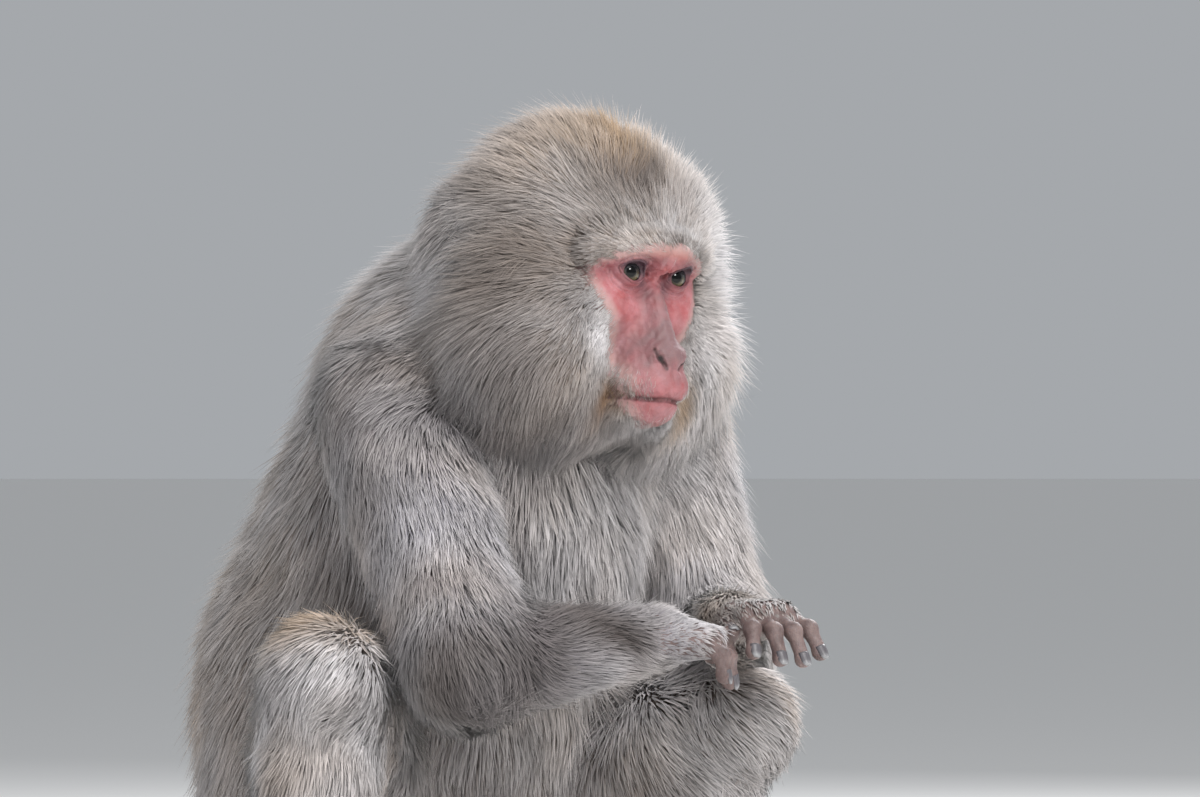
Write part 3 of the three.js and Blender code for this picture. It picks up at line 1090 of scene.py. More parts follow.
def surface_of(form: Form, cell: float) -> Net:
    """The surface of a form, by sampling it on a cubic lattice of the given cell."""
    low, high = form.box() + 2 * cell * np.array([[-1.0], [1.0]])
    low[2] = max(low[2], -2 * cell)
    counts = np.ceil((high - low) / cell).astype(int) + 1
    axes = [low[i] + cell * np.arange(counts[i]) for i in range(3)]
    values = np.empty(tuple(counts), dtype=np.float32)
    for i, x in enumerate(axes[0]):
        y, z = np.meshgrid(axes[1], axes[2], indexing="ij")
        layer = np.stack([np.full(y.size, x), y.ravel(), z.ravel()], axis=1)
        values[i] = form.at(layer).reshape(y.shape)
    grid = openvdb.FloatGrid(FAR)
    grid.copyFromArray(values)
    grid.transform = openvdb.createLinearTransform(voxelSize=1.0)
    points, triangles, quads = grid.convertToPolygons(isovalue=0.0, adaptivity=0.0)
    quads = quads.astype(np.int64)
    faces = np.concatenate([triangles.astype(np.int64), quads[:, [0, 1, 2]], quads[:, [0, 2, 3]]])
    return Net(low + cell * points.astype(np.float64), faces)


def placed(name: str, data: bpy.types.ID) -> bpy.types.Object:
    """Puts a mesh, a lamp or a camera into the scene."""
    piece = bpy.data.objects.new(name, data)
    bpy.context.scene.collection.objects.link(piece)
    return piece


def mesh_object(
    name: str, net: Net, material: bpy.types.Material, marks: dict[str, Array]
) -> bpy.types.Object:
    """Puts a net into the scene as a smooth mesh that rides on the body.

    Args:
        name: The piece's name.
        net: Its shape.
        material: Its finish.
        marks: What the material reads at each vertex: numbers, or vectors as rows of three. Those
            under "custom_normal" are the shading normals, where they aren't the mesh's own.

    Returns:
        The new object.
    """
    mesh = bpy.data.meshes.new(name)
    count = len(net.triangles)
    mesh.vertices.add(len(net.points))
    mesh.vertices.foreach_set("co", (net.points * MM).astype(np.float32).ravel())
    mesh.loops.add(3 * count)
    mesh.loops.foreach_set("vertex_index", net.triangles.astype(np.int32).ravel())
    mesh.polygons.add(count)
    mesh.polygons.foreach_set("loop_start", np.arange(0, 3 * count, 3, dtype=np.int32))
    mesh.update(calc_edges=True)
    mesh.shade_smooth()
    for label, values in marks.items():
        kind, key = ("FLOAT", "value") if values.ndim == 1 else ("FLOAT_VECTOR", "vector")
        attribute = mesh.attributes.new(label, kind, "POINT")
        attribute.data.foreach_set(key, values.astype(np.float32).ravel())
    mesh.materials.append(material)
    piece = placed(name, mesh)
    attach(piece, BODY)
    LOG.info("%s: %d triangles", name, count)
    return piece


# ---- finishes --------------------------------------------------------------------------------


def linear(hex_colour: str) -> tuple[float, float, float, float]:
    """An sRGB hex colour as linear red, green, blue and an alpha of 1."""
    shares = [int(hex_colour[i : i + 2], 16) / 255.0 for i in (0, 2, 4)]
    r, g, b = (s / 12.92 if s <= 0.04045 else ((s + 0.055) / 1.055) ** 2.4 for s in shares)
    return (r, g, b, 1.0)


def add(
    tree: bpy.types.NodeTree, kind: str, inputs: dict | None = None, **settings: object
) -> bpy.types.Node:
    """Adds a node.

    Args:
        tree: The material's node tree.
        kind: The node's type.
        inputs: What goes into each input, by name or number: an output socket or a value.
        **settings: The node's own settings.

    Returns:
        The new node.
    """
    node = tree.nodes.new(kind)
    for name, value in settings.items():
        setattr(node, name, value)
    for key, value in (inputs or {}).items():
        if isinstance(value, bpy.types.NodeSocket):
            tree.links.new(value, node.inputs[key])
        else:
            node.inputs[key].default_value = value
    return node


FACTOR, FIRST, SECOND, MIXED = 0, 6, 7, 2  # sockets of a Mix node for colours


def started(name: str) -> tuple[bpy.types.Material, bpy.types.NodeTree]:
    """A new material with an empty node tree."""
    material = bpy.data.materials.new(name)
    material.use_nodes = True
    material.node_tree.nodes.clear()
    return material, material.node_tree


def mark(tree: bpy.types.NodeTree, label: str) -> bpy.types.NodeSocket:
    """The output that holds an attribute's number."""
    return add(tree, "ShaderNodeAttribute", attribute_name=label).outputs["Fac"]


def over(
    tree: bpy.types.NodeTree, below: bpy.types.NodeSocket | tuple, above: str, share: bpy.types.NodeSocket
) -> bpy.types.NodeSocket:
    """A colour laid over another where the share is 1."""
    node = add(tree, "ShaderNodeMix", {FACTOR: share, FIRST: below, SECOND: linear(above)}, data_type="RGBA")
    return node.outputs[MIXED]


def finished(tree: bpy.types.NodeTree, inputs: dict) -> None:
    """Closes a node tree with a Principled shader and the output."""
    shader = add(tree, "ShaderNodeBsdfPrincipled", inputs)
    add(tree, "ShaderNodeOutputMaterial", {"Surface": shader.outputs["BSDF"]})


@dataclass(frozen=True)
class GuardHair:
    """Keratin guard hair over pale underwool: dull, a little translucent, so it never shines hard.

    Each tuft goes from a darker root to a pale tip: partly the hair's own colour, partly painted shade deep
    in the coat and a painted glow at the tips, where light would shine through the hair. Marks on the skin
    say where it is pale, warm, dark, cool or stained.
    """

    root: str = "7c736f"
    shaft: str = "9f9690"
    tip: str = "dedadb"
    # pale: paler hair, and painted light where the pale marks say
    pale: str = "f0edf0"
    warm: str = "b8966c"
    # dark: darker hair, and painted shade where the dark marks say
    dark: str = "4f4745"
    cool: str = "a3a3b0"
    stain: str = "80592f"
    roughness: float = 0.6
    contrast: float = 0.8  # how much lighter or darker one tuft may be than the next

    def material(self) -> bpy.types.Material:
        """The coat's material, which reads the marks and the place along each tuft."""
        material, tree = started("guard_hair")
        along = mark(tree, "along")
        # darker roots: partly the hair's colour, partly painted shade deep in the coat
        colour = over(tree, linear(self.root), self.shaft, along)
        late = add(tree, "ShaderNodeMapRange", {0: along, 1: 0.45, 2: 1.0, 3: 0.0, 4: 0.9})
        for label in ("cool", "pale"):
            colour = over(tree, colour, getattr(self, label), mark(tree, label))
        # pale tips: partly the hair's colour, partly a painted glow where light would shine through them
        colour = over(tree, colour, self.tip, late.outputs[0])
        for label in ("warm", "dark", "stain"):
            colour = over(tree, colour, getattr(self, label), mark(tree, label))
        low, high = 1.0 - self.contrast / 2, 1.0 + self.contrast / 2
        value = add(tree, "ShaderNodeMapRange", {0: mark(tree, "chance"), 1: 0.0, 2: 1.0, 3: low, 4: high})
        varied = add(tree, "ShaderNodeHueSaturation", {"Value": value.outputs[0], "Color": colour})
        finished(
            tree,
            {
                "Base Color": varied.outputs["Color"],
                "Roughness": self.roughness,
                "Specular IOR Level": 0.3,
                "Sheen Weight": 0.25,
                "Sheen Roughness": 0.5,
            },
        )
        return material


@dataclass(frozen=True)
class BareSkin:
    """Living skin: flushed red and pink on the face, grey-mauve on the nose, hands and feet.

    It is slightly moist, so the light picks out its folds, with fine creases and pores in its bump. Painted
    shade darkens it round the eyes and under the brow, beside the nose, in the mouth line and in the
    nostrils.
    """

    flush: str = "a8595b"
    blush: str = "ba7e83"
    # lid: the dark skin of the lids, also laid on as painted shade at the eyes' corners and under the brow
    lid: str = "4c333c"
    # nose: the grey-mauve skin of the nose, laid wide enough to be painted shade in the valleys beside it
    nose: str = "826365"
    brow: str = "a06c60"
    # mouth: painted shade, nearly black, in the crease of the mouth and in the nostrils
    mouth: str = "160b0c"
    palm: str = "62514f"
    knuckle: str = "8a7774"
    pad: str = "b0706a"
    rim: str = "b39490"
    furred: str = "6e625c"
    roughness: float = 0.48
    blotches: float = 95.0  # of the flush, in a metre
    crease: float = 3.2  # between creases, millimetres
    pore: float = 0.7  # between pores, millimetres

    def material(self) -> bpy.types.Material:
        """The skin's material, which reads the marks of the regions."""
        material, tree = started("bare_skin")
        place = add(tree, "ShaderNodeTexCoord").outputs["Object"]
        uneven = {"Vector": place, "Scale": self.blotches, "Detail": 5.0, "Roughness": 0.6}
        blotch = add(tree, "ShaderNodeTexNoise", uneven)
        patch = add(tree, "ShaderNodeMapRange", {0: blotch.outputs["Fac"], 1: 0.36, 2: 0.64})
        face = over(tree, linear(self.flush), self.blush, patch.outputs[0])
        for label in ("nose", "brow", "lid", "mouth"):
            face = over(tree, face, getattr(self, label), mark(tree, label))
        limb = over(tree, linear(self.palm), self.knuckle, patch.outputs[0])
        mixed = {FACTOR: mark(tree, "bare_face"), FIRST: limb, SECOND: face}
        colour = add(tree, "ShaderNodeMix", mixed, data_type="RGBA").outputs[MIXED]
        for label in ("pad", "rim", "furred"):
            colour = over(tree, colour, getattr(self, label), mark(tree, label))
        pores = add(tree, "ShaderNodeTexVoronoi", {"Vector": place, "Scale": 1000.0 / self.pore})
        wrinkled = {"Vector": place, "Scale": 1000.0 / self.crease, "Detail": 6.0, "Distortion": 1.5}
        creases = add(tree, "ShaderNodeTexNoise", wrinkled)
        relief = add(tree, "ShaderNodeMath", {0: pores.outputs["Distance"], 1: creases.outputs["Fac"]})
        raised = {"Strength": 0.35, "Distance": 0.0006, "Height": relief.outputs[0]}
        bump = add(tree, "ShaderNodeBump", raised)
        finished(
            tree,
            {
                "Base Color": colour,
                "Roughness": self.roughness,
                "Subsurface Weight": 0.12,
                "Subsurface Radius": (0.004, 0.0016, 0.0009),
                "Subsurface Scale": 1.0,
                "Normal": bump.outputs["Normal"],
            },
        )
        return material


@dataclass(frozen=True)
class WetEye:
    """A living eye: olive iris with a dark rim and pupil under a clear, wet cornea."""

    pupil: str = "050505"
    iris_inner: str = "24211f"
    iris_outer: str = "6a6249"
    limbus: str = "14100f"
    # painted shadow of the upper lid and brow over the top of the eye
    painted_lid_shadow: str = "27272f"
    white: str = "3f2d2a"
    roughness: float = 0.4
    fibre: float = 5.0  # the scale of the iris's fibres on the eye's own attribute

    def material(self, eye: Eye) -> bpy.types.Material:
        """The eye's material, which reads the distance from the axis of gaze, in millimetres."""
        material, tree = started("wet_eye")
        ring = mark(tree, "ring")
        spoke = add(tree, "ShaderNodeAttribute", attribute_name="spoke").outputs["Vector"]
        fibre = add(tree, "ShaderNodeTexNoise", {"Vector": spoke, "Scale": self.fibre, "Detail": 3.0})
        step = add(tree, "ShaderNodeMapRange", {0: ring, 1: eye.pupil, 2: 0.8 * eye.iris, 3: -0.1, 4: 1.0})
        mottled = add(tree, "ShaderNodeMath", {0: step.outputs[0], 1: fibre.outputs["Fac"]}, operation="ADD")
        shade = add(tree, "ShaderNodeMapRange", {0: mottled.outputs[0], 1: 0.3, 2: 1.3})
        colour = over(tree, linear(self.iris_inner), self.iris_outer, shade.outputs[0])
        bands = ((eye.iris - 1.3, eye.iris - 0.2, self.limbus), (eye.iris + 0.1, eye.iris + 0.9, self.white))
        for low, high, hue in bands:
            edge = add(tree, "ShaderNodeMapRange", {0: ring, 1: low, 2: high})
            colour = over(tree, colour, hue, edge.outputs[0])
        # painted shadow over the top of the eye, where the lid and brow shade it
        colour = over(tree, colour, self.painted_lid_shadow, mark(tree, "upper"))
        hole = add(tree, "ShaderNodeMapRange", {0: ring, 1: eye.pupil + 0.15, 2: eye.pupil - 0.15})
        colour = over(tree, colour, self.pupil, hole.outputs[0])
        finished(
            tree,
            {
                "Base Color": colour,
                "Roughness": self.roughness,
                "Specular IOR Level": 0.0,
                "Coat Weight": 1.0,
                "Coat Roughness": 0.015,
                "Coat IOR": 1.38,
            },
        )
        return material


@dataclass(frozen=True)
class NailHorn:
    """Keratin nails: grey, smooth and slightly glossy, paler towards the free edge."""

    bed: str = "5f5c60"
    edge: str = "9a9a9c"
    growth_lines: float = 700.0  # in a metre

    def material(self) -> bpy.types.Material:
        """The nails' material, with growth lines across the nail."""
        material, tree = started("nail_horn")
        along = mark(tree, "along")
        place = add(tree, "ShaderNodeTexCoord").outputs["Object"]
        lines = {"Vector": place, "Scale": self.growth_lines, "Detail": 3.0}
        streak = add(tree, "ShaderNodeTexNoise", lines)
        raised = {"Strength": 0.2, "Distance": 0.0003, "Height": streak.outputs["Fac"]}
        bump = add(tree, "ShaderNodeBump", raised)
        finished(
            tree,
            {
                "Base Color": over(tree, linear(self.bed), self.edge, along),
                "Roughness": 0.35,
                "Normal": bump.outputs["Normal"],
            },
        )
        return material


# ---- skin ------------------------------------------------------------------------------------


@dataclass(frozen=True)
class Marking:
    """A soft patch of a colour.

    Attributes:
        centre: Its middle.
        radii: Its reach along each axis.
        share: How strong it is at its middle.
    """

    centre: Point
    radii: Point
    share: float

    def at(self, p: Array) -> Array:
        """The share times a bell curve of the distance over the radii."""
        d = (p - np.array(self.centre)) / np.array(self.radii)
        return self.share * np.exp(-dots(d, d))


MARKINGS = {
    # pale: paler hair, and painted light on the chest, the left knee, round the right ear and on the left
    # side of the head
    "pale": (
        Marking((-38, -184, 380), (9, 18, 24), 0.8),  # strips beside the face
        # left side of the head: pale hair, with painted light where the light catches that side
        Marking((58, -168, 415), (26, 36, 74), 1.0),
        Marking((-80, -94, 424), (32, 46, 46), 0.85),  # round the right ear: pale hair, with painted light from above
        Marking((0, -180, 324), (26, 26, 13), 0.9),  # beard
        Marking((16, -140, 270), (74, 60, 64), 0.95),  # chest: pale hair, made paler still as painted light where the head and arms shade it
        Marking((80, -150, 280), (44, 50, 60), 0.8),  # left shoulder
        Marking((-170, -120, 170), (44, 44, 74), 1.0),  # right shin
        Marking((92, -150, 100), (34, 34, 50), 0.6),  # left shin
        Marking((62, -130, 182), (32, 32, 24), 0.7),  # painted light at the top of the left knee, over the shade between its tufts
    ),
    "warm": (
        Marking((8, -176, 486), (15, 24, 16), 0.8),  # tan patch on the crown
        Marking((-20, -150, 482), (60, 50, 34), 0.35),  # crown
        Marking((29, -186, 342), (11, 18, 14), 0.7),  # left jaw
        Marking((-70, -170, 420), (22, 26, 30), 0.3),  # right temple
        Marking((-160, -94, 226), (34, 34, 16), 0.6),  # top of the right knee
        Marking((-128, -38, 150), (30, 34, 60), 0.5),  # right thigh
        Marking((50, -186, 226), (26, 26, 20), 0.35),  # left wrist
        Marking((0, -182, 456), (28, 24, 15), 0.3),  # forehead
        Marking((0, 90, 250), (90, 70, 120), 0.35),  # back
    ),
    # dark: darker hair, and painted shade under the ruff, over the ear, on the throat, in the armpit and
    # between the legs
    "dark": (
        Marking((0, -182, 456), (28, 24, 15), 0.9),  # forehead
        Marking((-58, -160, 415), (34, 34, 50), 0.4),  # temple
        Marking((-70, -150, 345), (40, 44, 34), 0.5),  # painted shadow under the ruff
        Marking((-118, -166, 194), (50, 38, 36), 0.9),  # elbow
        Marking((-84, -118, 452), (9, 16, 12), 0.4),  # painted shade in the hollow over the ear
        Marking((0, -140, 318), (50, 34, 16), 0.2),  # painted shade on the throat, under the chin
        Marking((-60, -185, 226), (60, 28, 22), 0.6),  # forearm
        Marking((-58, -206, 214), (30, 14, 8), 0.6),  # parting along the right forearm
        Marking((56, -216, 226), (30, 22, 16), 0.4),  # back of the left hand
        Marking((-62, -128, 262), (22, 34, 60), 0.4),  # painted shade in the armpit
        Marking((-104, -76, 356), (40, 50, 44), 0.35),  # right shoulder
        Marking((-30, -90, 130), (60, 60, 40), 0.5),  # painted shade between the legs, under the belly
    ),
    "cool": (
        Marking((-106, -118, 280), (60, 60, 80), 0.8),  # right upper arm
        Marking((110, -100, 280), (60, 60, 80), 0.6),  # left upper arm
        Marking((8, -214, 214), (26, 20, 16), 0.9),  # back of the right hand
        Marking((-90, -178, 212), (74, 44, 44), 0.8),  # elbow and forearm
    ),
    "stain": (
        Marking((-31, -184, 348), (7, 14, 11), 0.85),  # at the corners of the mouth
        Marking((27, -188, 346), (6, 14, 8), 0.4),
    ),
}


def coat_marks(p: Array) -> dict[str, Array]:
    """How pale, warm, dark, cool and stained the coat is at each point, from 0 to 1; the pale and dark marks
    also carry painted light and painted shade.
    """
    marks = {label: sum(marking.at(p) for marking in patches) for label, patches in MARKINGS.items()}
    marks["dark"] += 0.1 * waves(p, 46.0, 8) + 0.08
    marks["pale"] += 0.14 * waves(p, 34.0, 9)
    marks["warm"] += 0.1 * waves(p, 52.0, 10) + 0.06
    return {label: np.clip(values, 0.0, 1.0) for label, values in marks.items()}


@dataclass
class Skin:
    """The one skin of the whole animal.

    Attributes:
        animal: Whose skin it is.
        cell: The lattice that its surface is first sampled on, in millimetres.
    """

    animal: Macaque
    cell: float = 3.6

    SHADOWS = (  # painted shade at the inner and outer corners of each eye and under the brow
        ((8.8, -196, 409), (4.6, 30, 7.5), 0.75),
        ((17, -196, 420.5), (14, 30, 3.0), 0.6),
        ((31, -184, 414), (7, 30, 5), 0.3),
    )
    LONGEST = {  # edges, in millimetres
        "lid": 0.7,
        "nostril": 0.77,
        "eye": 1.05,
        "mouth": 1.19,
        "face": 1.61,
        "hand": 2.94,
        "foot": 3.36,
        "ear": 3.36,
    }

    def longest(self, p: Array) -> Array:
        """The longest edge allowed at each point."""
        head = self.animal.head
        allowed = np.full(len(p), 3 * self.cell)
        zones = [(Nearby(Rolled(head.ears())), 3.0, "ear")]
        zones += [(Nearby(leg.foot()), 3.0, "foot") for leg in self.animal.legs]
        zones += [(Nearby(arm.hand()), 3.0, "hand") for arm in self.animal.arms]
        for form, reach, label in zones:
            allowed = np.where(form.at(p) < reach, self.LONGEST[label], allowed)
        edge = head.edge(p)
        allowed = np.where(edge < 5.0, np.minimum(allowed, self.LONGEST["face"]), allowed)
        q = turned(p, 1)
        for eye in head.eyes:
            around = lengths(q - np.array(eye.centre)) < eye.radius + 7.0
            allowed = np.where(around & (edge < 5.0), self.LONGEST["eye"], allowed)
            margin = around & (np.abs(eye.opening(q)[0]) < 1.6)
            allowed = np.where(margin, self.LONGEST["lid"], allowed)
            allowed = np.where(nostril(eye.side).at(q) < 2.0, self.LONGEST["nostril"], allowed)
        height, share = head.mouth(p)
        lips = (np.abs(height) < 3.5) & (share > 0.01) & (edge < 2.0)
        allowed = np.where(lips, self.LONGEST["mouth"], allowed)
        return allowed

    def net(self) -> Net:
        """The skin's mesh.

        The plain form is sampled on a lattice. Then long edges are halved where the skin is bare,
        and all vertices are moved onto the finer form, in turns.
        """
        plain = self.animal.flesh(fine=False)
        fine = self.animal.flesh(fine=True)
        net = surface_of(plain, self.cell).relaxed(0.5).onto(plain, 2, 2.0)
        for form, most in ((plain, 1.5), (plain, 1.0), (fine, 1.0), (fine, 0.7)):
            net = net.split(self.longest)
            for share in (0.5, 0.35):
                net = net.relaxed(share).onto(form, 2, most)
        net = net.onto(fine, 2, 0.5, 0.12)
        for _ in range(3):
            net = net.relaxed(0.5 * self.cut_edges(net.points))
        for eye in self.animal.head.eyes:
            lids = self.animal.head.lid_edge(eye)
            points = np.concatenate([net.points, turned(lids.points, -1)])
            net = Net(points, np.concatenate([net.triangles, lids.triangles + len(net.points)]))
        return net

    def cut_edges(self, p: Array) -> Array:
        """How close each point is to the edge of a lid or a nostril, from 0 to 1."""
        q = turned(p, 1)
        near = np.zeros(len(p))
        for eye in self.animal.head.eyes:
            edge, _, ahead = eye.opening(q)
            near = np.maximum(near, bell(edge, 1.3) * (ahead > 0.0))
            near = np.maximum(near, bell(nostril(eye.side).at(q), 0.9))
        return near

    def lid_colour_and_painted_shade(self, q: Array) -> Array:
        """How dark the skin is round the eyes, from 0 to 1, at points in the frame of the head: the lids'
        own dark colour, and painted shade at the eyes' corners and under the brow.
        """
        shade = np.zeros(len(q))
        for eye in self.animal.head.eyes:
            edge, height, ahead = eye.opening(q)
            off = np.maximum(edge, 0.0)
            margin = bell(off, 1.5) * ramp(ahead, 0.0, 4.0) * (0.6 + 0.4 * ramp(height, -2.0, 2.0))
            around = 0.55 * bell(off, 5.5) * ramp(ahead, 0.0, 6.0) * (0.5 + 0.5 * ramp(height, -2.0, 4.0))
            shade = np.maximum(shade, np.maximum(margin, around))
        # painted shade at the corners of the eyes and under the brow
        for side in Side:
            for centre, radii, share in self.SHADOWS:
                place = (side.value * centre[0], centre[1], centre[2])
                shade = np.maximum(shade, Marking(place, radii, share).at(q))
        return np.clip(shade, 0.0, 1.0)

    def marks(self, net: Net) -> dict[str, Array]:
        """What the skin's material reads: the regions of the bare skin and the coat's marks."""
        p = net.points
        head = self.animal.head
        q = turned(p, 1)
        edge = head.edge(p)
        hands = Melt(2, tuple(Nearby(arm.hand()) for arm in self.animal.arms))
        feet = Melt(2, tuple(Nearby(leg.foot()) for leg in self.animal.legs))
        pads = bell(q[:, 2], 24.0, 4) * (np.abs(p[:, 0]) < 60) * (np.abs(p[:, 1]) < 50)
        ears = Nearby(Rolled(head.ears())).at(p) < 1.5
        bare_face = 1.0 - ramp(edge, 0.0, 6.0)
        rim = ramp(edge, -5.0, 1.5) * (1.0 - ramp(edge, 12.0, 24.0))
        limbs = np.maximum(ramp(-hands.at(p), -2.5, 0.0), ramp(-feet.at(p), -2.5, 0.0))
        bare = np.maximum.reduce([bare_face, limbs, pads, ears.astype(float) * 0.8])
        # grey-mauve along the nose, wide enough to paint the shade in the valleys on each side of it
        bridge = bell(q[:, 0], 11.0) * ramp(q[:, 2], 362, 374) * ramp(-q[:, 2], -410, -400)
        muzzle = (1.0 - ramp(q[:, 2], 374, 392)) * (0.4 + 0.6 * ramp(q[:, 2], 348, 364))
        height, share = head.mouth(p)
        # the nostrils painted nearly black: painted shade in the holes
        painted_nostril_shade = np.max([ramp(-nostril(side).at(q), -1.0, 0.8) for side in Side], axis=0)
        return {
            "bare_face": bare_face,
            "rim": rim * 0.8,
            # the dark lids, and painted shade at the eyes' corners and under the brow
            "lid": self.lid_colour_and_painted_shade(q) * bare_face,
            "nose": np.clip(0.8 * bridge + 0.65 * muzzle + 0.12 * waves(q, 9.0, 5), 0, 1),
            "brow": ramp(q[:, 2], 418, 426) * 0.7,
            # painted shade in the mouth line and the nostrils
            "mouth": np.maximum(share * bell(height, 1.25), painted_nostril_shade),
            "pad": pads,
            "furred": (1.0 - np.clip(bare, 0.0, 1.0)) * ramp(edge, 4.0, 20.0),
            **coat_marks(p),
        }

    def build(self, finish: BareSkin) -> Net:
        """Puts the skin into the scene, in place of every node of flesh."""
        net = self.net()
        piece = mesh_object("skin", net, finish.material(), self.marks(net))
        flesh = [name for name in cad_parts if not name.startswith("eye")]
        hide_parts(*flesh)
        return net


# ---- eyes and nails ----------------------------------------------------------------------------


@dataclass
class Eyeball:
    """An eyeball with a bulging cornea.

    Attributes:
        eye: Its place and sizes.
        bulge: How far the cornea stands out.
    """

    eye: Eye
    bulge: float = 1.1
    turns: int = 64
    rings: int = 48

    def build(self, finish: WetEye) -> None:
        """Builds a sphere about the axis of gaze, pushed out by a bell curve over the iris.

        The grid's parameters are the angle from the axis and the angle about it, and its rings
        crowd towards the iris. Each pole is one vertex. The attribute "ring" is the distance from
        the axis, and far more than the eye's radius on the back half, which is white.
        """
        eye = self.eye
        gaze = unit(np.array([-math.sin(GAZE_TURN), -math.cos(GAZE_TURN), -0.03]))
        level = unit(np.cross(gaze, UP))
        upward = np.cross(level, gaze)
        polar = np.linspace(0.0, math.pi, self.rings + 1)[1:-1] ** 1.35
        polar *= math.pi * (1.0 - 1.0 / self.rings) / polar[-1]
        a, b = np.meshgrid(polar, circle(self.turns), indexing="ij")
        a, b = np.append(a.ravel(), [0.0, math.pi]), np.append(b.ravel(), [0.0, 0.0])
        ring = eye.radius * np.sin(a) + (a > math.pi / 2) * 20.0
        radius = eye.radius - 0.15 + self.bulge * bell(a, 0.5, 4)
        p = np.array(eye.centre) + radius[:, None] * swing(a, gaze, swing(b, level, upward))
        net = Net(turned(p, -1), globe_faces(self.rings - 1, self.turns))
        name = f"eyeball_{eye.side.name.lower()}"
        marks = {
            "ring": ring,
            # upper: where the painted shadow of the lid and brow falls on the eye
            "upper": 0.9 * ramp(eye.radius * np.sin(a) * np.sin(b), -3.0, 2.6),
            "spoke": np.stack([np.cos(b) * 2.2, np.sin(b) * 2.2, ring * 0.12], axis=1),
        }
        piece = mesh_object(name, net, finish.material(eye), marks)
        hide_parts(f"eye_{eye.side.name.lower()}")


@dataclass
class Nails:
    """The five nails of one hand or foot, joined in one piece.

    Attributes:
        name: The piece's name.
        digits: The digits that carry them.
    """

    name: str
    digits: list[Digit]

    ACROSS = 9
    ALONG = 9
    THICKNESS = 0.7

    def plate(self, digit: Digit) -> tuple[Net, Array]:
        """One nail: a curved plate over the end of the digit.

        u runs across and v along. The plate follows the digit's round back, 1.04 times its radius
        from its axis, and leaves it towards the tip. Its under side is the same surface, lower by
        the thickness.
        """
        along, back = digit.axes()
        across = np.cross(along, back)
        radius = digit.radii[2]
        u, v = np.meshgrid(np.linspace(-1, 1, self.ACROSS), np.linspace(0, 1, self.ALONG), indexing="ij")
        u, v = u.ravel(), v.ravel()
        width = 0.92 * np.sqrt(np.clip(1.0 - np.maximum(2.0 * v - 1.25, 0.0) ** 2 * 1.2, 0.05, 1.0))
        angle = u * width * 1.15
        reach = radius * (-0.95 + 2.05 * v)
        sheets = []
        for drop in (0.0, self.THICKNESS):
            r = radius * (1.04 - 0.3 * v**3) - drop
            d = r[:, None] * swing(angle, back, across)
            sheets.append(np.array(digit.tip) + reach[:, None] * along + d)
        points = np.concatenate(sheets)
        i, j = np.meshgrid(np.arange(self.ACROSS - 1), np.arange(self.ALONG - 1), indexing="ij")
        a = (i * self.ALONG + j).ravel()
        top = halves(a, a + self.ALONG, a + self.ALONG + 1, a + 1)
        n = self.ACROSS * self.ALONG
        rows, cols = np.arange(self.ACROSS) * self.ALONG, np.arange(self.ALONG)
        free_edge = rows[::-1][1:] + self.ALONG - 1
        loop = np.concatenate([rows, (n - self.ALONG) + cols[1:], free_edge, cols[::-1][1:-1]])
        after = np.roll(loop, -1)
        faces = np.concatenate([top, top[:, ::-1] + n, halves(loop, loop + n, after + n, after)])
        return Net(points, faces).facing_out(), np.concatenate([v, v])

    def build(self, material: bpy.types.Material) -> None:
        """Puts the five nails into the scene as one piece."""
        points, faces, marks, start = [], [], [], 0
        for digit in self.digits:
            net, v = self.plate(digit)
            points.append(net.points)
            faces.append(net.triangles + start)
            marks.append(ramp(v, 0.55, 1.0))
            start += len(net.points)
        whole = Net(np.concatenate(points), np.concatenate(faces))
        mesh_object(self.name, whole, material, {"along": np.concatenate(marks)})


# ---- coat ------------------------------------------------------------------------------------


@dataclass(frozen=True)
class Pelt:
    """How the hair of one region grows.

    Attributes:
        name: The region's name.
        density: Tufts for each square millimetre of skin.
        length: The length of a tuft, in millimetres.
        width: Its width, in millimetres.
        gather: How far the tips of a lock come together, from 0 to 1.
        stray: The share of tufts that stand out beyond the others.
        reach: How far a stray tuft stands out, in millimetres.
    """

    name: str
    density: float
    length: float
    width: float
    gather: float
    stray: float
    reach: float = 4.0


class Region(Enum):
    """The regions of the coat, each one piece of mesh."""

    CROWN = Pelt("coat_crown", 1.15, 27, 0.72, 0.28, 0.07, 6.0)
    CHEEK_RIGHT = Pelt("coat_cheek_right", 1.3, 42, 0.72, 0.4, 0.06)
    CHEEK_LEFT = Pelt("coat_cheek_left", 1.0, 46, 0.85, 0.4, 0.14, 9.0)
    CHEST = Pelt("coat_chest", 0.36, 42, 1.05, 0.4, 0.04)
    BACK = Pelt("coat_back", 0.35, 46, 1.15, 0.42, 0.06, 6.0)
    RUMP = Pelt("coat_rump", 0.25, 44, 1.3, 0.42, 0.04)
    ARM_RIGHT = Pelt("coat_arm_right", 0.6, 36, 0.9, 0.42, 0.05)
    ARM_LEFT = Pelt("coat_arm_left", 0.48, 36, 1.0, 0.42, 0.06, 5.0)
    LEG_RIGHT = Pelt("coat_leg_right", 0.47, 34, 1.05, 0.22, 0.04)
    LEG_LEFT = Pelt("coat_leg_left", 0.38, 34, 1.15, 0.25, 0.04)


def traits(region: Ints, *labels: str) -> tuple[Array, ...]:
    """What the pelts of some regions, given by number, say under each label."""
    return tuple(np.array([getattr(item.value, label) for item in Region])[region] for label in labels)


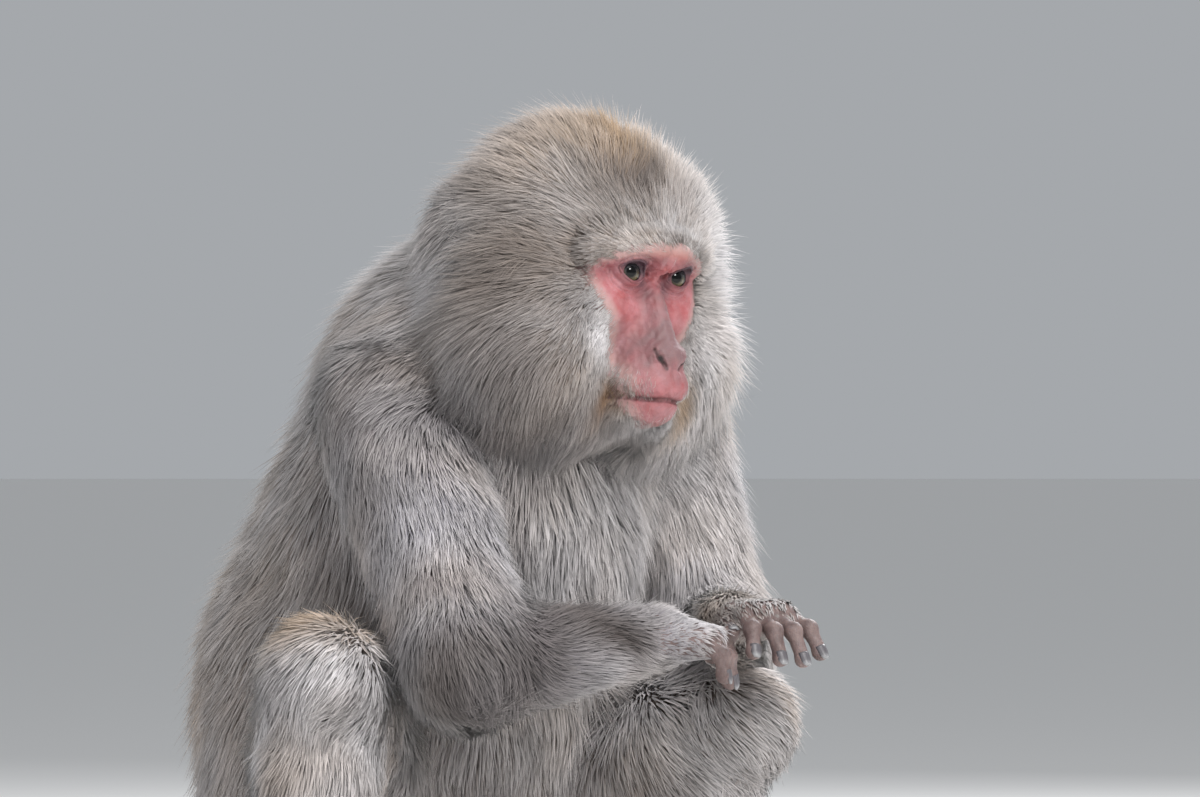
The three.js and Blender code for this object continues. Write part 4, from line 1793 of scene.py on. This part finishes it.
@dataclass(frozen=True)
class Current:
    """The lie of the hair along one stretch of the body.

    Attributes:
        start: Where the stretch starts.
        end: Where it ends.
        reach: Its radius: it counts for much less at twice that distance.
        falls: Whether the hair lies level or downwards, even where the stretch rises.
    """

    start: Point
    end: Point
    reach: float
    falls: bool = False

    def at(self, p: Array) -> tuple[Array, Array]:
        """Its direction, and its weight (distance / reach) to the power of -6."""
        _, away = beside(p, self.start, self.end)
        direction = np.array(self.end) - np.array(self.start)
        if self.falls:
            direction[2] = -0.5 * np.linalg.norm(direction[:2])
        weight = np.minimum(np.maximum(away / self.reach, 0.2) ** -6, 400.0)
        return unit(direction), weight


@dataclass
class Coat:
    """The coat: tufts rooted in the skin, in one piece for each region.

    Attributes:
        animal: Whose coat it is.
        skin: The skin that it grows on.
        outline: The surface that the tips of its hair reach.
    """

    animal: Macaque
    skin: Net
    outline: Form = field(init=False)

    ROOT_DEPTH = 1.2
    BEND = 0.42  # where a tuft bends and is widest, as a share of its length
    UNDERCOAT = 0.35  # the share of tufts that are wide and end lower
    PATCH = 0.003  # the size of a tuft on the bake map
    RIM_CROWDING = 1.6  # how much denser the short hair round the face is
    RIM_SPAN = 28.0  # how far from the bare face the coat reaches its full depth
    BROW_SPAN = 12.0  # the same over the brow
    LOCK = 6.5  # the size of a lock, in millimetres
    HEAD_MIDDLE: Point = (0.0, -136.0, 408.0)  # hair within HEAD_REACH of it grows as on the head
    HEAD_REACH: Point = (88.0, 80.0, 88.0)
    KNEE_REACH = 62.0  # the coat lies flatter within this distance of a knee

    def __post_init__(self) -> None:
        """Works out the outline once."""
        self.outline = self.animal.outline()

    def currents(self) -> list[Current]:
        """The lie of the hair along the trunk, the limbs and the tail."""
        found = [
            Current((0, 0, 380), (0, 60, 230), 95),
            Current((0, 60, 230), (0, 90, 60), 95),
            Current((0, -130, 330), (0, -105, 130), 70),
            Current((0, 100, 80), (0, 156, 40), 24),
        ]
        for arm in self.animal.arms:
            found.append(Current((0, -62, 396), arm.shoulder, 66))
            found.append(Current(arm.shoulder, arm.elbow, 44))
            found.append(Current(arm.elbow, arm.wrist, 30))
            found.append(Current(arm.wrist, arm.tips, 16))
        for leg in self.animal.legs:
            found.append(Current(leg.hip, leg.knee, 52, falls=True))
            found.append(Current(leg.knee, leg.ankle, 34))
            found.append(Current(leg.ankle, leg.tips, 20))
        found.append(Current((-148, -118, 218), (-190, -82, 172), 40))
        found.append(Current((70, -178, 190), (106, -198, 140), 30))
        return found

    def lie(self, p: Array, normal: Array) -> tuple[Array, Array]:
        """The direction of the hair at each root, in the plane of the skin.

        The currents are mixed by their weights. On the head the hair runs away from the muzzle,
        back and down. Gravity pulls all of it down, and slow noise bends it.

        Returns:
            The directions, and how much the coat parts, up to 1. The hair lies crosswise there.
        """
        total = np.zeros_like(p)
        for current in self.currents():
            direction, weight = current.at(p)
            total += weight[:, None] * direction
        q = turned(p, 1)
        away = units(q - np.array(self.animal.head.muzzle))
        lower = ramp(-q[:, 2], -420.0, -350.0)
        away += np.stack([np.zeros(len(q)), 0.55 - 0.35 * lower, -0.15 - 0.6 * lower], axis=1)
        head = np.maximum(lengths((q - np.array(self.HEAD_MIDDLE)) / np.array(self.HEAD_REACH)), 0.3)
        total = units(total) + units(away) * np.minimum(head**-9, 60.0)[:, None]
        total = units(total)
        total[:, 2] -= 0.22
        total += 0.28 * drift(p, 42.0, 20)
        total -= dots(total, normal)[:, None] * normal
        parting = 1.0 - ramp(lengths(total), 0.1, 0.75)
        total = units(total) + 1.7 * parting[:, None] * drift(p, 5.0, 25)
        total -= dots(total, normal)[:, None] * normal
        return units(total), parting

    def regions(self, p: Array) -> Ints:
        """The number of each root's region, in the order of Region."""
        number = {item: i for i, item in enumerate(Region)}
        q = turned(p, 1)
        animal = self.animal
        parts = [animal.trunk.torso(Layer.FLESH), Rolled(animal.head.skull()), *animal.limbs(Layer.FLESH)]
        nearest = np.argmin(np.stack([part.at(p) for part in parts], axis=1), axis=1)
        front = p[:, 1] < -40 + 0.2 * (p[:, 2] - 200)
        trunk = np.where(p[:, 2] < 130, number[Region.RUMP], number[Region.BACK])
        trunk = np.where(front & (p[:, 2] > 100), number[Region.CHEST], trunk)
        cheek = np.where(q[:, 0] < 0, number[Region.CHEEK_RIGHT], number[Region.CHEEK_LEFT])
        head = np.where(q[:, 2] > 436, number[Region.CROWN], cheek)
        limbs = (Region.ARM_RIGHT, Region.ARM_LEFT, Region.LEG_RIGHT, Region.LEG_LEFT)
        return np.choose(nearest, [trunk, head, *(np.full(len(p), number[limb]) for limb in limbs)])

    def cover(self, p: Array) -> Array:
        """How thickly the hair grows at each point, from 0 on bare skin to more than 1."""
        animal = self.animal
        edge = animal.head.edge(p)
        q = turned(p, 1)
        ragged = edge + 1.6 * waves(p, 8.0, 60)
        face = ramp(ragged, -7.0, 6.0) ** 3 * (1.0 + self.RIM_CROWDING * (1.0 - ramp(edge, 4.0, 20.0)))
        lips = 0.4 * ramp(edge, -13.0, -5.0) * ramp(-q[:, 2], -364.0, -352.0) * (q[:, 1] < -150)
        lips *= 0.3 + 0.7 * ramp(q[:, 2], 340.0, 346.0)
        thin = np.ones(len(p))
        ends = [(arm.wrist, arm.tips, 32.0, 0.3, 1.0) for arm in animal.arms]
        ends += [(leg.ankle, leg.tips, 38.0, 0.4, ramp(p[:, 2], 8.0, 20.0)) for leg in animal.legs]
        for joint, tips, reach, furred, most in ends:
            along, away = beside(p, joint, tips)
            hair = most * (1.0 - ramp(along, furred, 0.7))
            thin = np.where(away < reach, np.minimum(thin, hair), thin)
        seat = ((np.abs(p[:, 0]) < 52) & (np.abs(p[:, 1] - 4) < 38) & (p[:, 2] < 20)).astype(float)
        return np.maximum(face, lips) * thin * (1.0 - seat) * ramp(p[:, 2], 3.0, 8.0)

    def roots(self, draw: np.random.Generator) -> tuple[Array, Array]:
        """Random places on the skin, as many in each triangle as its area and cover ask for.

        Returns:
            The places and the skin's normals there.
        """
        a, b, c = (self.skin.points[self.skin.triangles[:, i]] for i in range(3))
        middle = (a + b + c) / 3.0
        area = 0.5 * lengths(np.cross(b - a, c - a))
        density, length = traits(self.regions(middle), "density", "length")
        buried = ramp(-self.outline.at(middle) / length, 0.9, 1.25)
        _, parting = self.lie(middle, units(np.cross(b - a, c - a)))
        wanted = area * density * self.cover(middle) * (1.0 - 0.85 * buried) * (1.0 + 0.7 * parting)
        total = int(wanted.sum())
        reached = np.cumsum(wanted)
        even = (np.arange(total) + draw.uniform(size=total)) / total * reached[-1]
        chosen = np.minimum(np.searchsorted(reached, even), len(area) - 1)
        u, v = draw.uniform(size=total), draw.uniform(size=total)
        flip = u + v > 1.0
        u, v = np.where(flip, 1.0 - u, u), np.where(flip, 1.0 - v, v)
        weights = np.stack([1.0 - u - v, u, v], axis=1)[:, :, None]
        corners = self.skin.triangles[chosen]
        place = (self.skin.points[corners] * weights).sum(axis=1)
        normal = units((self.skin.normals()[corners] * weights).sum(axis=1))
        return place, normal

    def build(self, finish: GuardHair) -> None:
        """Grows the coat and puts each region into the scene."""
        draw = np.random.default_rng(SEED)
        root, normal = self.roots(draw)
        lie, parting = self.lie(root, normal)
        region = self.regions(root)
        count = len(root)
        labels = ("length", "width", "gather", "stray", "reach")
        length, width, gather, stray, reach = traits(region, *labels)
        kind = draw.uniform(size=count)
        astray = kind < stray
        under = kind > 1.0 - self.UNDERCOAT
        depth = np.clip(-self.outline.at(root), 1.2, 45.0)
        edge = self.animal.head.edge(root)
        q = turned(root, 1)
        span = self.RIM_SPAN - (self.RIM_SPAN - self.BROW_SPAN) * ramp(q[:, 2], 414.0, 427.0)
        at_rim = ramp((edge + 2.0) / span, 0.0, 1.0)
        depth = np.minimum(depth, 1.2 + 34.0 * at_rim)
        length = np.minimum(length, 6.0 + 1.6 * depth) * (0.65 + 0.35 * at_rim)
        length += 0.6 * parting * (np.minimum(length, 3.0 + 1.2 * depth) - length)
        length += 4.0 * bell(edge - 3.0, 6.0) * ramp(q[:, 2], 418.0, 428.0)
        length *= draw.uniform(0.75, 1.12, size=count)
        width = width * (0.55 + 0.45 * at_rim) * draw.uniform(0.75, 1.25, size=count)
        under &= at_rim > 0.35
        level = self.levels(draw, root, depth, at_rim, under)
        level = np.where(astray, reach * draw.uniform(0.4, 1.6, size=count) * at_rim, level)
        length *= np.where(astray, 1.25, 1.0)
        width *= np.where(astray, 0.55, np.where(under, 1.7, 1.0))
        stubble = 1.0 - ramp(edge, -4.0, 3.0)
        width *= 1.0 - 0.5 * stubble
        tip, middle = self.shaped(root, normal, lie, length, depth, level)
        shift = self.locks(root, tip, gather * draw.uniform(0.3, 1.0, size=count))
        tip = tip + shift + draw.normal(scale=0.05, size=(count, 3)) * length[:, None]
        middle = middle + 0.3 * shift
        base = root - self.ROOT_DEPTH * normal
        for place in (base, middle, tip):
            place[:, 2] = np.maximum(place[:, 2], self.ROOT_DEPTH)
        shades = coat_marks(root)
        lock = 0.5 + 0.3 * waves(root, 9.0, 31) + 0.2 * waves(root, 4.0, 32) + 0.3 * waves(root, 24.0, 33)
        shades["chance"] = np.clip(0.6 * draw.uniform(size=count) + 0.4 * lock - 0.12 * under, 0.0, 1.0)
        material = finish.material()
        for number, item in enumerate(Region):
            own = region == number
            marks = {label: values[own] for label, values in shades.items()}
            places = (base[own], middle[own], tip[own])
            self.piece(item.value.name, places, normal[own], width[own], marks, material)

    def levels(
        self, draw: np.random.Generator, root: Array, depth: Array, at_rim: Array, under: Array
    ) -> Array:
        """How far under the outline each tuft ends, as a negative distance.

        Most end close under it, those of the undercoat deeper, and slow noise goes over them all.
        The ruff under the chin has ragged points, and the crown is parted by a shallow furrow.

        Args:
            draw: The random draws.
            root: The roots.
            depth: The depth of the coat there.
            at_rim: 0 at the edge of the bare face, and 1 where the coat has its full depth.
            under: Which tufts are of the undercoat.
        """
        q = turned(root, 1)
        level = -depth * draw.beta(0.9, 3.0, size=len(root)) * 0.6
        level = np.where(under, level - 0.22 * depth, level)
        level += 0.12 * depth * waves(root, 13.0, 50) * at_rim
        ruff = ramp(-q[:, 2], -352.0, -325.0) * (q[:, 1] < -90.0) * (self.animal.head.coat().at(q) < 0.0)
        level += ruff * at_rim * (2.0 + 4.0 * waves(root, 9.0, 51))
        level -= 6.0 * bell(q[:, 0] - 8.0, 8.0) * ramp(q[:, 2], 465.0, 490.0)
        return level

    def shaped(
        self, root: Array, normal: Array, lie: Array, length: Array, depth: Array, level: Array
    ) -> tuple[Array, Array]:
        """The tip and the middle of each tuft.

        A tuft leaves the skin at an angle and bends down along it. The angle is corrected three
        times so that the tip comes to its own level under the outline of the coat.

        Args:
            root: The roots.
            normal: The skin's normals there.
            lie: The lie of the hair there.
            length: The tufts' lengths.
            depth: The depth of the coat there.
            level: How far under the outline each tip ends, as levels gives it.

        Returns:
            The tips and the middles.
        """
        knees = [np.array(leg.knee) for leg in self.animal.legs]
        near_knee = [bell(lengths(root - knee), self.KNEE_REACH, 4) for knee in knees]
        steepest = 1.25 - 0.75 * np.max(near_knee, axis=0)  # flatter where the coat bends over a knee
        angle = np.minimum(np.arcsin(np.clip((depth + level) / length, 0.05, 0.9)), steepest)
        for _ in range(3):
            tip = root + length[:, None] * swing(angle, lie, normal)
            miss = self.outline.at(tip) - level
            angle = np.clip(angle - 0.8 * miss / length, 0.04, steepest)
        tip = root + length[:, None] * swing(angle, lie, normal)
        steep = np.minimum(angle * 1.35 + 0.06, 1.4)
        middle = root + self.BEND * length[:, None] * swing(steep, lie, normal)
        return tip, middle

    def locks(self, root: Array, tip: Array, share: Array) -> Array:
        """How far each tip moves towards the mean tip of its lock.

        A lock holds the roots in one cell of a cubic lattice, which noise bends so that no rows
        show.
        """
        cell = np.floor((root + drift(root, 17.0, 40) * 4.0) / self.LOCK).astype(np.int64)
        key = (cell[:, 0] * 4096 + cell[:, 1]) * 4096 + cell[:, 2]
        _, lock = np.unique(key, return_inverse=True)
        count = np.bincount(lock)
        mean = np.stack([np.bincount(lock, tip[:, i]) / count for i in range(3)], axis=1)
        return share[:, None] * (mean[lock] - tip)

    def piece(
        self,
        name: str,
        places: tuple[Array, Array, Array],
        normal: Array,
        width: Array,
        marks: dict[str, Array],
        material: bpy.types.Material,
    ) -> None:
        """Puts one region's tufts into the scene as a mesh.

        Each tuft is a closed spindle: its root, a ring of three vertices at its bend, and its tip.
        It is shaded mostly with the skin's normal, so that the coat reads as one soft surface.
        """
        base, middle, tip = places
        count = len(base)
        along = units(tip - base)
        across = units(np.cross(along, normal))
        up = np.cross(across, along)
        corners, leans = [base], [-0.2 * up]
        for turn in (90.0, 210.0, 330.0):
            c, s = math.cos(math.radians(turn)), math.sin(math.radians(turn))
            lean = c * across + 0.7 * s * up
            corners.append(middle + 0.5 * width[:, None] * lean)
            leans.append(lean)
        corners.append(tip)
        leans.append(0.3 * up)
        size = len(corners)
        points = np.stack(corners, axis=1).reshape(-1, 3)
        pattern = np.array([[0, 1, 2], [0, 2, 3], [0, 3, 1], [4, 2, 1], [4, 3, 2], [4, 1, 3]])
        ring = points[1:4]
        if np.cross(ring[1] - ring[0], ring[2] - ring[0]) @ (tip[0] - base[0]) > 0:
            pattern = pattern[:, ::-1]
        faces = (pattern[None] + size * np.arange(count)[:, None, None]).reshape(-1, 3)
        spread = {label: np.repeat(values, size) for label, values in marks.items()}
        spread["along"] = np.tile([0.0, 0.5, 0.5, 0.5, 1.0], count)
        shading = normal[:, None] + 0.45 * np.stack(leans, axis=1)
        spread["custom_normal"] = units(shading.reshape(-1, 3))
        piece = mesh_object(name, Net(points, faces), material, spread)
        self.bake_map(piece, base, faces)

    def bake_map(self, piece: bpy.types.Object, base: Array, faces: Ints) -> None:
        """Gives a region its map, where each tuft is a small patch at its root's place.

        The skin is unrolled about the upright axis through the region's middle: U is the angle
        about that axis, and V the angle from it.
        """
        middle = base.mean(axis=0)
        d = base - middle
        radius = np.hypot(d[:, 0], d[:, 1])
        u = np.arctan2(d[:, 1], d[:, 0]) / (2.0 * math.pi) + 0.5
        v = np.arctan2(d[:, 2], radius) / math.pi + 0.5
        spots = 0.01 + 0.975 * np.stack([u, v], axis=1)
        share = np.array([[0.5, 0.0], [0.0, 0.4], [0.5, 0.6], [1.0, 0.4], [0.5, 1.0]]) * self.PATCH
        places = (spots[:, None] + share[None]).reshape(-1, 2)
        layer = piece.data.uv_layers.new(name="OFBake")
        layer.data.foreach_set("uv", places[faces.ravel()].astype(np.float32).ravel())


# ---- stage -----------------------------------------------------------------------------------


@dataclass(frozen=True)
class Stage:
    """The plain floor, the soft lamps and the camera, in metres."""

    target: Point = (0.0, -0.1481, 0.345)
    azimuth: float = math.radians(-45.0)
    elevation: float = 0.0
    distance: float = 6.0
    frame_width: float = 0.672  # across the view at the target
    lit: Point = (0.0, -0.1, 0.25)  # where the lamps point
    floor_radius: float = 40.0
    floor_turns: int = 96
    floor_colour: str = "f3f2f0"
    grain: float = 400.0  # of the floor, in a metre
    world_colour: str = "dde1e6"
    world_strength: float = 0.52

    def build(self) -> None:
        """Puts all of it into the scene."""
        self.floor()
        self.world()
        self.lamp("key_light", (-0.6, -1.9, 2.9), 1.5, 64.0, (1.0, 0.98, 0.96))
        self.lamp("front_light", (-0.4, -2.6, 1.3), 0.5, 24.0, (1.0, 0.99, 0.97))
        self.lamp("fill_light", (-3.4, -2.2, 0.7), 2.4, 16.0, (0.97, 0.98, 1.0))
        self.lamp("back_light", (2.3, 0.8, 1.9), 1.4, 60.0, (0.97, 0.98, 1.0))
        self.camera()
        bpy.context.scene.view_settings.view_transform = "Standard"

    def floor(self) -> None:
        """A flat disc of matt paper, far wider than the view."""
        angle = circle(self.floor_turns)
        rim = self.floor_radius * np.stack([np.cos(angle), np.sin(angle), np.zeros(len(angle))], axis=1)
        mesh = bpy.data.meshes.new("floor")
        mesh.from_pydata(rim.tolist(), [], [list(range(len(angle)))])
        material, tree = started("matt_paper")
        place = add(tree, "ShaderNodeTexCoord").outputs["Object"]
        grain = add(tree, "ShaderNodeTexNoise", {"Vector": place, "Scale": self.grain})
        raised = {"Strength": 0.05, "Distance": 0.0005, "Height": grain.outputs["Fac"]}
        relief = add(tree, "ShaderNodeBump", raised).outputs["Normal"]
        finished(tree, {"Base Color": linear(self.floor_colour), "Roughness": 0.85, "Normal": relief})
        mesh.materials.append(material)
        floor = placed("floor", mesh)
        floor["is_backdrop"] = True

    def world(self) -> None:
        """An even, pale surround."""
        world = bpy.data.worlds.new("surround")
        world.use_nodes = True
        world.node_tree.nodes.clear()
        glow = {0: linear(self.world_colour), 1: self.world_strength}
        light = add(world.node_tree, "ShaderNodeBackground", glow)
        add(world.node_tree, "ShaderNodeOutputWorld", {0: light.outputs[0]})
        bpy.context.scene.world = world

    def lamp(self, name: str, place: Point, size: float, power: float, colour: Point) -> None:
        """A square soft box that faces the animal."""
        light = bpy.data.lights.new(name, "AREA")
        light.size = size
        light.energy = power
        light.color = colour
        lamp = placed(name, light)
        lamp.location = place
        lamp.rotation_euler = (Vector(self.lit) - Vector(place)).to_track_quat("-Z", "Y").to_euler()

    def camera(self) -> None:
        """A long lens level with the animal's chest, to its right and in front of it."""
        data = bpy.data.cameras.new("camera")
        data.sensor_width = 36.0
        data.lens = data.sensor_width * self.distance / self.frame_width
        camera = placed("camera", data)
        turn, rise = self.azimuth, self.elevation
        level = math.cos(rise)
        back = Vector((math.sin(turn) * level, -math.cos(turn) * level, math.sin(rise)))
        camera.location = Vector(self.target) + back * self.distance
        camera.rotation_euler = (-back).to_track_quat("-Z", "Y").to_euler()
        bpy.context.scene.camera = camera


# ---- assembly --------------------------------------------------------------------------------


def eye_from_frame(side: Side) -> Eye:
    """An eye at the middle of its node in the frame, turned upright, with the node's radius."""
    low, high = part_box(f"eye_{side.name.lower()}")
    middle = (np.array(low) + np.array(high)) / (2.0 * MM)
    radius = float(high[1] - low[1]) / (2.0 * MM)
    return Eye(side, spot(turned(middle[None], 1)[0]), radius)


def main() -> None:
    """Builds the animal and its stage."""
    logging.basicConfig(level=logging.INFO, format="%(name)s: %(message)s")
    head = Head(eyes=tuple(eye_from_frame(side) for side in Side))
    animal = Macaque(Trunk(), head, ARMS, LEGS)
    Stage().build()
    skin = Skin(animal).build(BareSkin())
    for eye in head.eyes:
        Eyeball(eye).build(WetEye())
    horn = NailHorn().material()
    for end, limb in [*(("hand", arm) for arm in ARMS), *(("foot", leg) for leg in LEGS)]:
        Nails(f"nails_{end}_{limb.side.name.lower()}", limb.digits()).build(horn)
    Coat(animal, skin).build(GuardHair())
    boxes = {"cad": CAD_BOX, "visual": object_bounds()}
    {name: [list(low), list(high)] for name, (low, high) in boxes.items()}


if __name__ == "__main__":
    main()
